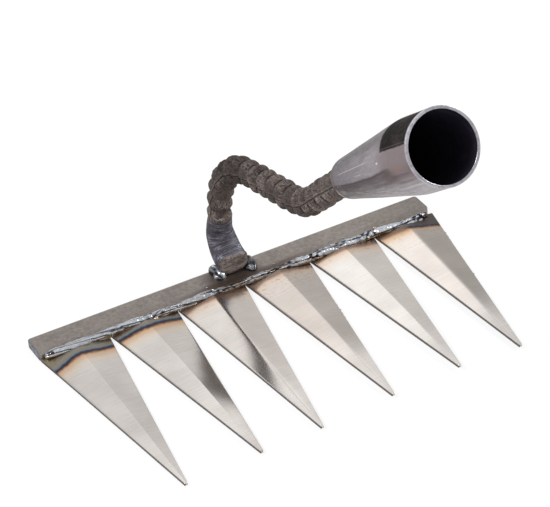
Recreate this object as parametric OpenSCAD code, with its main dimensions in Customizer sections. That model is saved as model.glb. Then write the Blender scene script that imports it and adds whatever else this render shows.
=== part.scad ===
// Head of a hand rake: a flat crossbar with six pointed, creased plate teeth welded along its front edge,
// a bent ribbed rod as neck and a tapered tube socket for a round handle.
// Right is +X, the teeth point to -Y, up is +Z; the bar's underside lies on z = 0, centred on the origin.

/* [Crossbar] */
// Length of the flat bar, side to side
bar_length = 230; // [160:1:320]
// Width of the flat bar, back to front
bar_width = 16; // [12:0.5:24]
// Thickness of the flat bar
bar_thick = 4.5; // [3:0.25:8]
// Rounding of the bar's corners, seen from above
bar_corner_r = 2; // [0.5:0.25:4]

/* [Teeth] */
// Usual reach of the teeth in front of the bar
tooth_reach = 124; // [80:1:180]
// Each tooth's own reach as a share of the usual one, left to right
reach_shares = [1.013, 1.008, 1.006, 0.99, 0.984, 0.997]; // [0.9:0.001:1.1]
// Thickness of a tooth plate
tooth_thick = 1.8; // [1.2:0.1:3]
// Width of a tooth's blunted point
tooth_tip = 1.6; // [0.8:0.1:4]
// Slit between the roots of neighbouring teeth
tooth_slit = 0.5; // [0.2:0.1:2]
// Share of the bar's length that each tooth's root takes, left to right
root_shares = [0.167, 0.169, 0.172, 0.165, 0.171, 0.161]; // [0.1:0.001:0.25]
// Sideways lean of each tooth in degrees, positive to the right
tooth_lean = [-0.7, 0.4, -2.3, -1.3, -1.3, -3]; // [-4:0.1:4]
// Upward set of each tooth in degrees
tooth_lift = [0, 0.3, 0.3, 0.6, 0.8, 0.4]; // [0:0.1:4]
// Fall in degrees of each half of a tooth from the crease along its middle
crease_angle = 7.5; // [0:0.5:8]

/* [Tooth welds] */
// Radius of the bead along the bar's front edge
seam_r = 3.2; // [2:0.1:5]
// Distance of the bead's middle in front of the bar
seam_ahead = 0.6; // [0:0.1:2]
// Height of the bead's middle as a share of the bar's thickness
seam_height_share = 0.66; // [0.5:0.01:0.9]

/* [Neck rod] */
// Radius of the rod between its ribs
rod_r = 6.5; // [4:0.1:9]
// Radius of the hammered foot
foot_r = 7.5; // [5:0.1:10]
// Height of the cross ribs
rib_height = 0.9; // [0.3:0.1:2]
// Height of the two lengthwise ribs
long_rib_height = 0.6; // [0.2:0.1:2]
// Spacing of the cross ribs along the rod
rib_pitch = 9.5; // [6:0.1:14]
// Slant of the cross ribs in degrees
rib_slant = 14; // [0:1:30]
// Distance of the rod's end face behind the bar's front edge
foot_setback = 7; // [4:0.5:12]
// Depth by which the foot's underside is flattened onto the bar
foot_flat = 0.8; // [0.2:0.1:2]
// Straight length of the foot on the bar
foot_run = 0.7; // [0.1:0.1:10]
// Bend radius, on the rod's middle line, from the foot into the rise
foot_bend_r = 13; // [8:0.5:25]
// Straight length of the rise
rise_run = 15.9; // [2:0.1:60]
// Bend radius of the crook over the bar
crook_r = 50; // [20:1:90]
// Straight length of the reach in front of the crook
reach_run = 48.6; // [5:0.1:90]
// Bend radius from the reach into the socket's line
elbow_r = 40; // [15:1:80]
// Straight length from the elbow to the socket
tail_run = 45.3; // [20:0.1:90]
// Length of rod inside the socket
tail_insert = 15; // [8:0.5:30]
// Heading of the rise, in degrees above straight forward
rise_angle = 80; // [60:0.5:100]
// Heading of the reach, in degrees above straight forward
reach_angle = 13; // [0:0.5:30]
// Heading of the tail, in degrees above straight forward
tail_angle = 42; // [20:0.5:60]
// Heading of the socket, in degrees above straight forward
socket_angle = 36.5; // [20:0.5:60]

/* [Neck welds] */
// Radius of the beads beside the foot
foot_bead_r = 3.4; // [2:0.1:5]
// Length of the bead on the left of the foot
left_bead_length = 13; // [8:0.5:20]
// Length of the bead on the right of the foot
right_bead_length = 11; // [8:0.5:20]

/* [Socket] */
// Bore of the socket, for the handle
bore_d = 32; // [24:0.5:42]
// Wall of the socket tube
socket_wall = 1.5; // [1:0.1:4]
// Length of the socket along its axis, narrow end to mouth
socket_length = 106; // [70:1:160]
// Straight length at the mouth
mouth_run = 26; // [15:1:50]
// Outside radius of the cone where it starts
shoulder_r = 10; // [9:0.1:15]
// Length of the rounded-in narrow end
shoulder_length = 4; // [2:0.1:10]
// Outside radius of the narrow end's lip
lip_r = 8.4; // [7.5:0.1:11]
// Angle in degrees by which the mouth is cut off square
mouth_skew_angle = 4.5; // [0:0.5:10]
// Length of the weld collar on the rod
collar_length = 3; // [1:0.1:8]
// Gap around the rod in the socket's narrow end
rod_gap = 0.15; // [0.05:0.05:0.5]

/* [Hidden] */
$fn = 96;
teeth = len(root_shares);
rod_side_count = 20;
bar_front = bar_width / 2;
// Share of the bead's radius by which its middle may lie under the highest crease
crease_cover_share = 0.6;
top_crease = tooth_thick + max([for (i = [0 : teeth - 1]) crease_rise(i)]);
seam_z = max(bar_thick * seam_height_share, top_crease - seam_r * crease_cover_share);
bore_r = bore_d / 2;
tube_r = bore_r + socket_wall;
hole_r = rod_r + rod_gap;
taper_length = socket_length - mouth_run;
// Overrun of a cut past the piece it cuts
overrun = bar_length;

// Left edge of a tooth's root, measured from the bar's middle
function root_edge(i) = i == 0 ? -bar_length / 2 : root_edge(i - 1) + root_shares[i - 1] * bar_length;
function root_width(i) = root_shares[i] * bar_length;
function root_mid(i) = root_edge(i) + root_width(i) / 2;
function reach(i) = tooth_reach * reach_shares[i];
// Place of a tooth's left (side -1) or right (side 1) edge at y, measured from the middle of its root
function tooth_side(i, side, y) = let (
    w = root_width(i) - tooth_slit,
    tip = reach(i) * tan(tooth_lean[i]))
    side * w / 2 - y / reach(i) * (tip + side * (tooth_tip - w) / 2);
// Height of a tooth's crease over its edges at the root, and the pitch at which its edges lie flat
function crease_rise(i) = root_width(i) / 2 * tan(crease_angle);
function tooth_pitch(i) = tooth_lift[i] - atan(crease_rise(i) / reach(i));

// The rod's middle line runs in the plane x = 0 as legs: [length, 0] is straight, [radius, turn] is a bend.
// A pose on it is [distance forward, height, heading].
foot_start = [bar_front - foot_setback, bar_thick + foot_r - foot_flat, 180];
legs = [
    [foot_run, 0],
    [foot_bend_r, rise_angle - 180],
    [rise_run, 0],
    [crook_r, reach_angle - rise_angle],
    [reach_run, 0],
    [elbow_r, tail_angle - reach_angle],
    [tail_run, 0],
    [elbow_r, socket_angle - tail_angle],
    [tail_insert, 0]
];
function leg_length(k) = legs[k][1] == 0 ? legs[k][0] : legs[k][0] * abs(legs[k][1]) * PI / 180;
function line_length(k = 0) = k == len(legs) ? 0 : leg_length(k) + line_length(k + 1);
function straight(p, d) = [p[0] + d * cos(p[2]), p[1] + d * sin(p[2]), p[2]];
function bend(p, r, turn) = let (a = p[2] + turn, g = sign(turn))
    [p[0] + g * r * (sin(a) - sin(p[2])), p[1] + g * r * (cos(p[2]) - cos(a)), a];
function along(p, k, d) = legs[k][1] == 0
    ? straight(p, d)
    : bend(p, legs[k][0], sign(legs[k][1]) * d / legs[k][0] * 180 / PI);
function pose(s, k = 0, p = foot_start) = s <= leg_length(k) || k == len(legs) - 1
    ? along(p, k, s)
    : pose(s - leg_length(k), k + 1, along(p, k, leg_length(k)));

rod_length = line_length();
lip_s = rod_length - tail_insert;
lip = pose(lip_s);
foot_bend_length = foot_bend_r * (180 - rise_angle) * PI / 180;
rib_first = foot_run + foot_bend_length + rib_pitch;
rib_last = lip_s - collar_length - rib_pitch / 2;
rib_count = floor((rib_last - rib_first) / rib_pitch) + 1;

// A ring of the rod is [place on the line, share of rib, share of slant and lengthwise rib, share of foot].
rib_rise_shares = [[-0.32, 0], [-0.12, 1], [0.12, 1], [0.32, 0]];
foot_swell_shares = [
    [0, 0], [0.06, 0.8], [0.12, 1], [0.3, 1], [0.45, 1],
    [0.6, 0.9], [0.75, 0.6], [0.88, 0.2], [1, 0]
];
first_rib_gap_share = 0.75;
foot_length = rib_first - rib_pitch * first_rib_gap_share;
foot_rings = [for (w = foot_swell_shares) [w[0] * foot_length, 0, 0, w[1]]];
rib_rings = [for (k = [0 : rib_count - 1], w = rib_rise_shares)
    [rib_first + (k + w[0]) * rib_pitch, w[1], 1, 0]];
tail_rings = [[lip_s - collar_length, 0, 0, 0], [rod_length, 0, 0, 0]];
rings = concat(foot_rings, rib_rings, tail_rings);

// Cross ribs are crescents, highest over and under the rod; the lengthwise ribs run along its sides.
function rod_radius(q, f) = rod_r + (foot_r - rod_r) * q[3]
    + rib_height * q[1] * sqrt(abs(cos(f)))
    + long_rib_height * q[2] * pow(abs(sin(f)), 24);
function rod_point(q, f) = let (
    r = rod_radius(q, f),
    p = pose(q[0] + q[2] * rod_r * tan(rib_slant) * sin(f)),
    z = p[1] + r * cos(f) * cos(p[2]))
    [r * sin(f), -p[0] + r * cos(f) * sin(p[2]), max(z, bar_thick)];
rod_points = [for (q = rings, k = [0 : rod_side_count - 1]) rod_point(q, k * 360 / rod_side_count)];
function corner(j, k) = j * rod_side_count + k % rod_side_count;
rod_faces = concat(
    [[for (k = [0 : rod_side_count - 1]) corner(0, k)]],
    [for (j = [0 : len(rings) - 2], k = [0 : rod_side_count - 1])
        [corner(j, k), corner(j + 1, k), corner(j + 1, k + 1)]],
    [for (j = [0 : len(rings) - 2], k = [0 : rod_side_count - 1])
        [corner(j, k), corner(j + 1, k + 1), corner(j, k + 1)]],
    [[for (k = [rod_side_count - 1 : -1 : 0]) corner(len(rings) - 1, k)]]
);

steel = [0.56, 0.54, 0.52];
plate = [0.70, 0.67, 0.64];
bead = [0.45, 0.45, 0.46];
scale_brown = [0.27, 0.24, 0.23];
tube = [0.55, 0.53, 0.56];

module crossbar() {
    color(steel)
    union() {
        translate([-bar_length / 2, -bar_front + bar_corner_r, 0])
            cube([bar_length, bar_width - 2 * bar_corner_r, bar_thick]);
        translate([-bar_length / 2 + bar_corner_r, -bar_front, 0])
            cube([bar_length - 2 * bar_corner_r, bar_width, bar_thick]);
        for (sx = [-1, 1], sy = [-1, 1])
            translate([sx * (bar_length / 2 - bar_corner_r), sy * (bar_front - bar_corner_r), 0])
                cylinder(r = bar_corner_r, h = bar_thick);
    }
}

// Plan of a tooth, root edge on y = 0, carried on behind that edge to be trimmed to the bar
module tooth_plan(i) {
    polygon([
        [tooth_side(i, -1, tooth_thick), tooth_thick],
        [tooth_side(i, -1, -reach(i)), -reach(i)],
        [tooth_side(i, 1, -reach(i)), -reach(i)],
        [tooth_side(i, 1, tooth_thick), tooth_thick]
    ]);
}

// Moves to the top of a tooth's crease at the root, pitched as the tooth is
module at_root(i) {
    translate([root_mid(i), -bar_front, tooth_thick + crease_rise(i)])
        rotate([-tooth_pitch(i), 0, 0])
            children();
}

// Long strip creased along a tooth's middle line, its creased top at z = 0, of the given depth
module creased_strip(i, depth) {
    fall = overrun * tan(crease_angle);
    rotate([0, 0, tooth_lean[i]])
        rotate([90, 0, 0])
            translate([0, 0, -overrun])
                linear_extrude(height = 2 * overrun)
                    polygon([
                        [-overrun, -fall],
                        [0, 0],
                        [overrun, -fall],
                        [overrun, -fall - depth],
                        [0, -depth],
                        [-overrun, -fall - depth]
                    ]);
}

// Everything behind the bar's front face, up to the given height
module behind_front(height) {
    translate([-overrun, -bar_front, height - 2 * overrun])
        cube([2 * overrun, overrun, 2 * overrun]);
}

module tooth(i) {
    color(plate)
    difference() {
        at_root(i)
        intersection() {
            translate([0, 0, -overrun])
                linear_extrude(height = 2 * overrun)
                    tooth_plan(i);
            creased_strip(i, tooth_thick);
        }
        behind_front(overrun);
    }
}

// Bead of one tooth, lying on the tooth's top face and over the bar's front top edge
module seam_weld(i) {
    from = root_edge(i) + (i == 0 ? seam_r : 0);
    to = root_edge(i) + root_width(i) - (i == teeth - 1 ? seam_r : 0);
    color(bead)
    difference() {
        translate([0, -bar_front - seam_ahead, seam_z])
        union() {
            translate([from, 0, 0])
                rotate([0, 90, 0])
                    cylinder(r = seam_r, h = to - from);
            if (i == 0)
                translate([from, 0, 0])
                    sphere(r = seam_r);
            if (i == teeth - 1)
                translate([to, 0, 0])
                    sphere(r = seam_r);
        }
        behind_front(bar_thick);
        at_root(i)
            creased_strip(i, overrun);
    }
}

module neck_rod() {
    color(scale_brown)
    polyhedron(points = rod_points, faces = rod_faces, convexity = 8);
}

// Smooth outside of the rod's foot and first bend
module foot_form() {
    translate([0, -foot_start[0], foot_start[1]])
    union() {
        translate([0, -overrun, 0])
            rotate([-90, 0, 0])
                cylinder(r = foot_r, h = overrun + foot_run);
        translate([0, foot_run, foot_bend_r])
            rotate([0, 90, 0])
                rotate_extrude(angle = 180 - rise_angle)
                    translate([foot_bend_r, 0])
                        circle(r = foot_r);
    }
}

// Bead beside the foot, on the left for side -1 and on the right for side 1
module foot_bead(side, length) {
    span = length - 2 * foot_bead_r;
    front = -foot_start[0] + foot_bead_r / 2;
    color(bead)
    difference() {
        translate([side * foot_r, front, bar_thick])
        union() {
            rotate([-90, 0, 0])
                cylinder(r = foot_bead_r, h = span);
            sphere(r = foot_bead_r);
            translate([0, span, 0])
                sphere(r = foot_bead_r);
        }
        translate([-overrun, -overrun, bar_thick - overrun])
            cube([2 * overrun, 2 * overrun, overrun]);
        foot_form();
    }
}

module neck_weld_left() {
    foot_bead(-1, left_bead_length);
}

module neck_weld_right() {
    foot_bead(1, right_bead_length);
}

// Moves to the socket's narrow end, +Z along its axis to the mouth
module at_lip() {
    translate([0, -lip[0], lip[1]])
        rotate([90 - socket_angle, 0, 0])
            children();
}

module socket() {
    color(tube)
    at_lip()
    difference() {
        rotate_extrude()
            polygon([
                [hole_r, 0],
                [lip_r, 0],
                [shoulder_r, shoulder_length],
                [tube_r, taper_length],
                [tube_r, socket_length + tube_r],
                [bore_r, socket_length + tube_r],
                [bore_r, taper_length],
                [shoulder_r - socket_wall, shoulder_length + socket_wall],
                [hole_r, shoulder_length]
            ]);
        translate([0, 0, socket_length])
            rotate([mouth_skew_angle, 0, 0])
                translate([-overrun, -overrun, 0])
                    cube([2 * overrun, 2 * overrun, overrun]);
    }
}

module socket_weld() {
    color(bead)
    at_lip()
        rotate_extrude()
            polygon([
                [hole_r, 0],
                [hole_r, -collar_length],
                [lip_r, 0]
            ]);
}

module tooth_1() {
    tooth(0);
}

module tooth_2() {
    tooth(1);
}

module tooth_3() {
    tooth(2);
}

module tooth_4() {
    tooth(3);
}

module tooth_5() {
    tooth(4);
}

module tooth_6() {
    tooth(5);
}

module seam_weld_1() {
    seam_weld(0);
}

module seam_weld_2() {
    seam_weld(1);
}

module seam_weld_3() {
    seam_weld(2);
}

module seam_weld_4() {
    seam_weld(3);
}

module seam_weld_5() {
    seam_weld(4);
}

module seam_weld_6() {
    seam_weld(5);
}

crossbar();
tooth_1();
tooth_2();
tooth_3();
tooth_4();
tooth_5();
tooth_6();
seam_weld_1();
seam_weld_2();
seam_weld_3();
seam_weld_4();
seam_weld_5();
seam_weld_6();
neck_rod();
neck_weld_left();
neck_weld_right();
socket();
socket_weld();
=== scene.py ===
"""Looks of a welded rake head: crossbar, creased teeth, weld beads, ribbed neck and handle socket.

Lengths in the shape functions are in mm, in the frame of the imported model: X along the bar, the teeth
point to -Y, Z up. Each piece is a closed skin over rings of points, worked out as whole arrays.
"""
import math

import bpy
import numpy as np
from mathutils import Matrix, Vector


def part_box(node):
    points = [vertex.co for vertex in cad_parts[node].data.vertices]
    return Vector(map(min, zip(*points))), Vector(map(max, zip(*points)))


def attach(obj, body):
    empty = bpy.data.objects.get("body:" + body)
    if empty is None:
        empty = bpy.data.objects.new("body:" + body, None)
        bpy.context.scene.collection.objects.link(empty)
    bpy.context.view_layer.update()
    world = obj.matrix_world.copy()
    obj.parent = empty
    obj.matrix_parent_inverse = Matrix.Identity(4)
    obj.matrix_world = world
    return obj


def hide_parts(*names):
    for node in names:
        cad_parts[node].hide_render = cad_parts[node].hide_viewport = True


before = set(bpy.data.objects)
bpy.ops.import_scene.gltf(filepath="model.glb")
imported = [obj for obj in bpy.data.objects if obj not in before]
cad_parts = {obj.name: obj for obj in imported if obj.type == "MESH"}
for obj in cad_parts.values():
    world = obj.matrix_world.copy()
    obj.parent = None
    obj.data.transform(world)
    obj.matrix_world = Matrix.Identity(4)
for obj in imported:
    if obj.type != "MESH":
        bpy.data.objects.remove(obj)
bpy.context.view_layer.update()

bl_info = {
    "name": "Rake head looks",
    "version": (1, 0, 0),
    "blender": (4, 5, 0),
    "location": "3D View > Sidebar > Rake head",
    "description": "Shapes and finishes of a welded rake head with a ribbed neck and a handle socket",
    "category": "Object",
}

MM = 0.001
TEETH = 6
BAR_TOP = 4.5
SOCKET_TILT = math.radians(36.5)
MOUTH_SKEW = math.radians(4.5)

# The neck rod's middle line in the plane x = 0, as in the part's source: (length, 0) is straight,
# (radius, turn in degrees) is a bend. It starts at (forward, height, heading).
ROD_START = (1.0, 11.2, math.pi)
ROD_LEGS = ((0.7, 0), (13, -100), (15.9, 0), (50, -67), (48.6, 0), (40, 29), (45.3, 0), (40, -5.5), (15, 0))
ROD_INSERT = 15.0
RIB_PITCH = 9.5
RIB_COUNT = 19


# Numbers and curves

def tone(red, green, blue):
    """Linear colour of a screen colour given as 0 to 255."""
    screen = np.array([red, green, blue]) / 255
    return tuple(np.where(screen <= 0.04045, screen / 12.92, ((screen + 0.055) / 1.055) ** 2.4).tolist())


def ease(value, low, high):
    """0 below low, 1 above high, and 3t^2 - 2t^3 between them."""
    t = np.clip((np.asarray(value, float) - low) / (high - low), 0, 1)
    return t * t * (3 - 2 * t)


def hump(value, middle, half):
    """Raised cosine: 1 at the middle, 0 at half and more away from it."""
    t = np.clip((np.asarray(value, float) - middle) / half, -1, 1)
    return 0.5 + 0.5 * np.cos(np.pi * t)


def wander(value, seed, waves=6):
    """Smooth curve about 0: a sum of sines, each 1.7 times the rate and 1/1.5 the height of the last."""
    rng = np.random.default_rng(seed)
    rates = 1.7 ** np.arange(waves) * rng.uniform(0.85, 1.15, waves)
    phases = rng.uniform(0, 2 * np.pi, waves)
    heights = 1.5 ** -np.arange(waves) / 1.8
    return (np.sin(np.asarray(value, float)[..., None] * rates + phases) * heights).sum(-1)


def dents(place, size, seed, waves=16):
    """Bumpy field about -1 to 1 over places in mm: plane waves about `size` mm long in drawn directions."""
    rng = np.random.default_rng(seed)
    ways = rng.normal(size=(waves, 3))
    ways /= np.linalg.norm(ways, axis=1)[:, None]
    ways *= (2 * np.pi / size * rng.uniform(0.7, 1.4, waves))[:, None]
    return np.sin(place @ ways.T + rng.uniform(0, 2 * np.pi, waves)).sum(-1) / math.sqrt(waves)


def trio(first, second, third):
    """Three arrays of one shape, or numbers, as one array of triples."""
    return np.stack(np.broadcast_arrays(first, second, third), -1).astype(float)


def rounded(distance, radius):
    """Inset of a rounded edge at a distance from its end: R - sqrt(R^2 - (R - d)^2), 0 from d = R on."""
    short = np.clip(radius - np.asarray(distance, float), 0, radius)
    return radius - np.sqrt(radius ** 2 - short ** 2)


def dome(distance, run):
    """Height of a rounded end at a distance from it: sqrt(1 - (1 - d / run)^2), 1 from d = run on."""
    return np.sqrt(np.clip(1 - (1 - np.clip(distance / run, 0, 1)) ** 2, 1e-4, 1))


# Closed skins

def skin(rings, marks, loop=False, paint=None):
    """Closed skin over rings (rows, columns, 3): quads between neighbouring rings, each ring closed on
    itself. With loop the last ring joins the first, else a fan round its middle closes each end.
    Marks are arrays of triples per point; paint is the finish number of each row. Faces turn outwards:
    they are reversed if the sum of a . (b x c) over the triangles is negative."""
    rows, columns = rings.shape[:2]
    grid = np.arange(rows * columns).reshape(rows, columns)
    turned = np.roll(grid, -1, 1)
    upper, upper_turned = np.roll(grid, -1, 0), np.roll(turned, -1, 0)
    quads = np.stack([grid, turned, upper_turned, upper], -1)
    quads = (quads if loop else quads[:-1]).reshape(-1, 4)
    points = rings.reshape(-1, 3)
    marks = {name: values.reshape(-1, 3) for name, values in marks.items()}
    fans = np.zeros((0, 3), int)
    if not loop:
        middles = np.full(columns, rows * columns)
        fans = np.vstack([
            np.stack([turned[0], grid[0], middles], 1),
            np.stack([grid[-1], turned[-1], middles + 1], 1),
        ])
        points = np.vstack([points, rings[0].mean(0), rings[-1].mean(0)])
        marks = {
            name: np.vstack([values, values[:columns].mean(0), values[-columns:].mean(0)])
            for name, values in marks.items()
        }
    corners = np.vstack([quads[:, [0, 1, 2]], quads[:, [0, 2, 3]], fans])
    a, b, c = (points[corners[:, k]] - points.mean(0) for k in range(3))
    if (a * np.cross(b, c)).sum() < 0:
        quads, fans = quads[:, ::-1], fans[:, ::-1]
    row_paint = np.zeros(rows, int) if paint is None else np.asarray(paint)
    quad_paint = np.repeat(row_paint if loop else row_paint[:-1], columns)
    return {
        "points": points, "quads": quads, "fans": fans, "marks": marks,
        "paint": np.concatenate([quad_paint, np.zeros(len(fans), int)]),
    }


def make_piece(name, skins, finishes, nodes):
    """One mesh object at the origin from closed skins in mm, riding on the body and standing for nodes."""
    starts = np.cumsum([0] + [len(s["points"]) for s in skins])
    faces, paint = [], []
    for s, start in zip(skins, starts):
        faces += (s["quads"] + start).tolist() + (s["fans"] + start).tolist()
        paint.append(s["paint"])
    mesh = bpy.data.meshes.new(name)
    mesh.from_pydata((np.vstack([s["points"] for s in skins]) * MM).tolist(), [], faces)
    for mark in skins[0]["marks"]:
        values = np.vstack([s["marks"][mark] for s in skins]).astype(np.float32)
        mesh.attributes.new(mark, "FLOAT_VECTOR", "POINT").data.foreach_set("vector", values.ravel())
    mesh.polygons.foreach_set("use_smooth", np.ones(len(faces), bool))
    mesh.polygons.foreach_set("material_index", np.concatenate(paint).astype(np.int32))
    for finish in finishes:
        mesh.materials.append(finish)
    mesh.update()
    if mesh.validate():
        raise RuntimeError(f"the skin of {name} has broken faces")
    made = bpy.data.objects.new(name, mesh)
    bpy.context.scene.collection.objects.link(made)
    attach(made, "root")
    if nodes:
        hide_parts(*nodes)


# Shader maths

class Sock:
    """One output socket. Python's operators on it add Math nodes to the tree that it belongs to."""

    def __init__(self, finish, socket):
        self.finish = finish
        self.socket = socket

    def _math(self, operation, first, second):
        return self.finish.node("ShaderNodeMath", {"operation": operation}, {0: first, 1: second})

    def __add__(self, other):
        return self._math("ADD", self, other)

    __radd__ = __add__

    def __sub__(self, other):
        return self._math("SUBTRACT", self, other)

    def __rsub__(self, other):
        return self._math("SUBTRACT", other, self)

    def __mul__(self, other):
        return self._math("MULTIPLY", self, other)

    __rmul__ = __mul__


class Finish:
    """Builds one node tree. Its node method makes any node; the rest are short names for common ones."""

    def __init__(self, tree):
        self.tree = tree
        tree.nodes.clear()

    def node(self, kind, settings=None, inputs=None, output=0):
        """A node of this kind: its settings and ramp stops first, then its sockets' values or links."""
        made = self.tree.nodes.new(kind)
        for name, value in (settings or {}).items():
            if name == "stops":
                self._stops(made.color_ramp, value)
            else:
                setattr(made, name, value)
        for key, value in (inputs or {}).items():
            socket = made.inputs[key]
            if isinstance(value, Sock):
                self.tree.links.new(value.socket, socket)
            elif socket.type == "RGBA":
                socket.default_value = (*tuple(value)[:3], 1.0)
            else:
                socket.default_value = value
        return Sock(self, made.outputs[output]) if len(made.outputs) else None

    @staticmethod
    def _stops(ramp, stops):
        while len(ramp.elements) < len(stops):
            ramp.elements.new(1.0)
        for element, (place, colour) in zip(ramp.elements, stops):
            element.position = place
            element.color = (*colour, 1.0)

    def places(self):
        """Object coordinates in mm."""
        spot = self.node("ShaderNodeTexCoord", output=3)
        return self.node("ShaderNodeVectorMath", {"operation": "SCALE"}, {0: spot, "Scale": 1 / MM})

    def mark(self, name):
        """A mesh attribute of triples."""
        return self.node("ShaderNodeAttribute", {"attribute_name": name}, output=1)

    def parts(self, vector):
        """The three numbers of a vector."""
        first = self.node("ShaderNodeSeparateXYZ", {}, {0: vector})
        outputs = first.socket.node.outputs
        return [Sock(self, outputs[k]) for k in range(3)]

    def stretch(self, vector, scale, turn=0.0):
        """A vector turned about Z and then multiplied part by part."""
        return self.node("ShaderNodeMapping", {}, {0: vector, 2: (0, 0, turn), 3: scale})

    def noise(self, vector, scale, detail=2.0, rough=0.5):
        """Cloudy noise from 0 to 1."""
        return self.node("ShaderNodeTexNoise", {}, {
            "Vector": vector, "Scale": scale, "Detail": detail, "Roughness": rough})

    def step(self, value, low, high, start=0.0, end=1.0):
        """Smooth step from start at low to end at high."""
        return self.node("ShaderNodeMapRange", {"interpolation_type": "SMOOTHSTEP"}, {
            0: value, 1: low, 2: high, 3: start, 4: end})

    def line(self, value, low, high):
        """Straight line from 0 at low to 1 at high."""
        return self.node("ShaderNodeMapRange", {}, {0: value, 1: low, 2: high, 3: 0.0, 4: 1.0})

    def ridge(self, value, middle, half):
        """1 at the middle, falling smoothly to 0 at half and more away from it."""
        away = self.node("ShaderNodeMath", {"operation": "ABSOLUTE"}, {0: value - middle})
        return 1 - self.step(away, 0.0, half)

    def band(self, value, low, rise, fall, high):
        """0 up to low, 1 from rise to fall, and 0 again from high on."""
        return self.step(value, low, rise) * (1 - self.step(value, fall, high))

    def bearing(self, first, second):
        """Angle in degrees whose sine and cosine go as the first and the second value."""
        turn = self.node("ShaderNodeMath", {"operation": "ARCTAN2"}, {0: first, 1: second})
        return turn * (180 / math.pi)

    def mix(self, share, first, second):
        """Colour between the first, at share 0, and the second, at share 1."""
        return self.node("ShaderNodeMix", {"data_type": "RGBA"}, {0: share, 6: first, 7: second}, 2)

    def times(self, colour, number):
        """A colour made darker or lighter by a number."""
        return self.tinted(colour, self.node("ShaderNodeCombineXYZ", {}, {0: number, 1: number, 2: number}))

    def tinted(self, first, second):
        """One colour seen through another."""
        return self.node("ShaderNodeMix", {"data_type": "RGBA", "blend_type": "MULTIPLY"},
                         {0: 1.0, 6: first, 7: second}, 2)

    def ramp(self, value, stops):
        """Colours in steps along a value from 0 to 1."""
        return self.node("ShaderNodeValToRGB", {"stops": stops}, {0: value})

    def bump(self, height, distance_mm, strength):
        """Normal tilted by a height field."""
        return self.node("ShaderNodeBump", {}, {
            "Height": height, "Distance": distance_mm * MM, "Strength": strength})

    def metal(self, colour, roughness, metallic=1.0, normal=None, **constants):
        """Principled surface and material output."""
        inputs = {"Base Color": colour, "Roughness": roughness, "Metallic": metallic}
        if normal is not None:
            inputs["Normal"] = normal
        inputs.update({name.replace("_", " "): value for name, value in constants.items()})
        surface = self.node("ShaderNodeBsdfPrincipled", {}, inputs)
        self.node("ShaderNodeOutputMaterial", {}, {"Surface": surface})


def new_finish(name):
    """A new material with an empty tree, and its builder."""
    material = bpy.data.materials.new(name)
    material.use_nodes = True
    return material, Finish(material.node_tree)


# Settings

def length(name, text, mm):
    return bpy.props.FloatProperty(name=name, description=text, default=mm * MM, min=0, precision=5,
                                   subtype="DISTANCE", unit="LENGTH")


def angle(name, text, degrees):
    return bpy.props.FloatProperty(name=name, description=text, default=math.radians(degrees),
                                   subtype="ANGLE", unit="ROTATION")


def share(name, text, value):
    return bpy.props.FloatProperty(name=name, description=text, default=value, min=0, max=1,
                                   subtype="FACTOR")


def power(name, text, value):
    return bpy.props.FloatProperty(name=name, description=text, default=value, min=0)


def colour(name, text, red, green, blue):
    return bpy.props.FloatVectorProperty(name=name, description=text, default=tone(red, green, blue),
                                         size=3, min=0, max=1, subtype="COLOR")


def subgroup(kind, name, text):
    return bpy.props.PointerProperty(type=kind, name=name, description=text)


class RakePlateSettings(bpy.types.PropertyGroup):
    bar_edge: length("Bar edge rounding", "Rounding of the bar's long edges", 0.5)
    bar_corner: length("Bar corner", "Rounding of the bar's corners, seen from above", 2)
    worn_corner: length("Worn bar corner", "Rounding of the bar's front right corner", 4.5)
    tooth_edge: length("Tooth edge rounding", "Rounding of a tooth's sheared edges", 0.22)
    crease_bend: length("Crease bend", "Radius over which a tooth's crease is bent", 0.9)
    waviness: length("Plate waviness", "Depth of the gentle waves in a tooth plate", 0.06)
    burr: length("Burrs", "Height of the shearing burrs along a tooth's edge", 0.16)
    bright: colour("Brushed steel", "Tooth plate where it is freshly brushed", 226, 221, 216)
    dull: colour("Dull steel", "Tooth plate between the brush lines", 206, 200, 195)
    cast: colour("Warm cast", "Faint warm cast of the middle teeth", 255, 244, 237)
    cut_edge: colour("Sheared edge", "Side faces of the teeth", 76, 70, 69)
    bar_steel: colour("Bar steel", "Rolled surface of the bar", 154, 147, 142)
    bar_dark: colour("Bar scale", "Darker streaks of the bar", 124, 116, 111)
    bar_burnt: colour("Burnt bar", "Bar beside the neck weld", 84, 70, 63)
    navy: colour("Navy tint", "Hottest heat tint line on a tooth", 30, 33, 60)
    sky: colour("Grey tint", "Teal grey fringe of the heat tint", 118, 136, 136)
    steel_blue: colour("Blue tint", "Blue between the grey fringe and the navy line", 62, 84, 114)
    oxide: colour("Oxide", "Olive grey oxide between tint and weld", 142, 131, 108)
    rose: colour("Rose tint", "Rose grey fringe of the heat tint", 156, 134, 128)
    tan: colour("Tan tint", "Tan rim of the burn on the middle teeth", 190, 160, 136)
    purple: colour("Purple tint", "Purple brown next to the navy line", 62, 46, 56)
    orange: colour("Orange tint", "Orange heat tint", 206, 164, 124)
    straw: colour("Straw tint", "Palest heat tint", 228, 208, 182)
    brown: colour("Brown tint", "Brown rim of the heat tint", 136, 106, 88)
    soot: colour("Soot brown", "Brown burn on the middle teeth", 104, 92, 85)
    roughness: share("Plate roughness", "Roughness of the brushed plates", 0.14)


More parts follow.
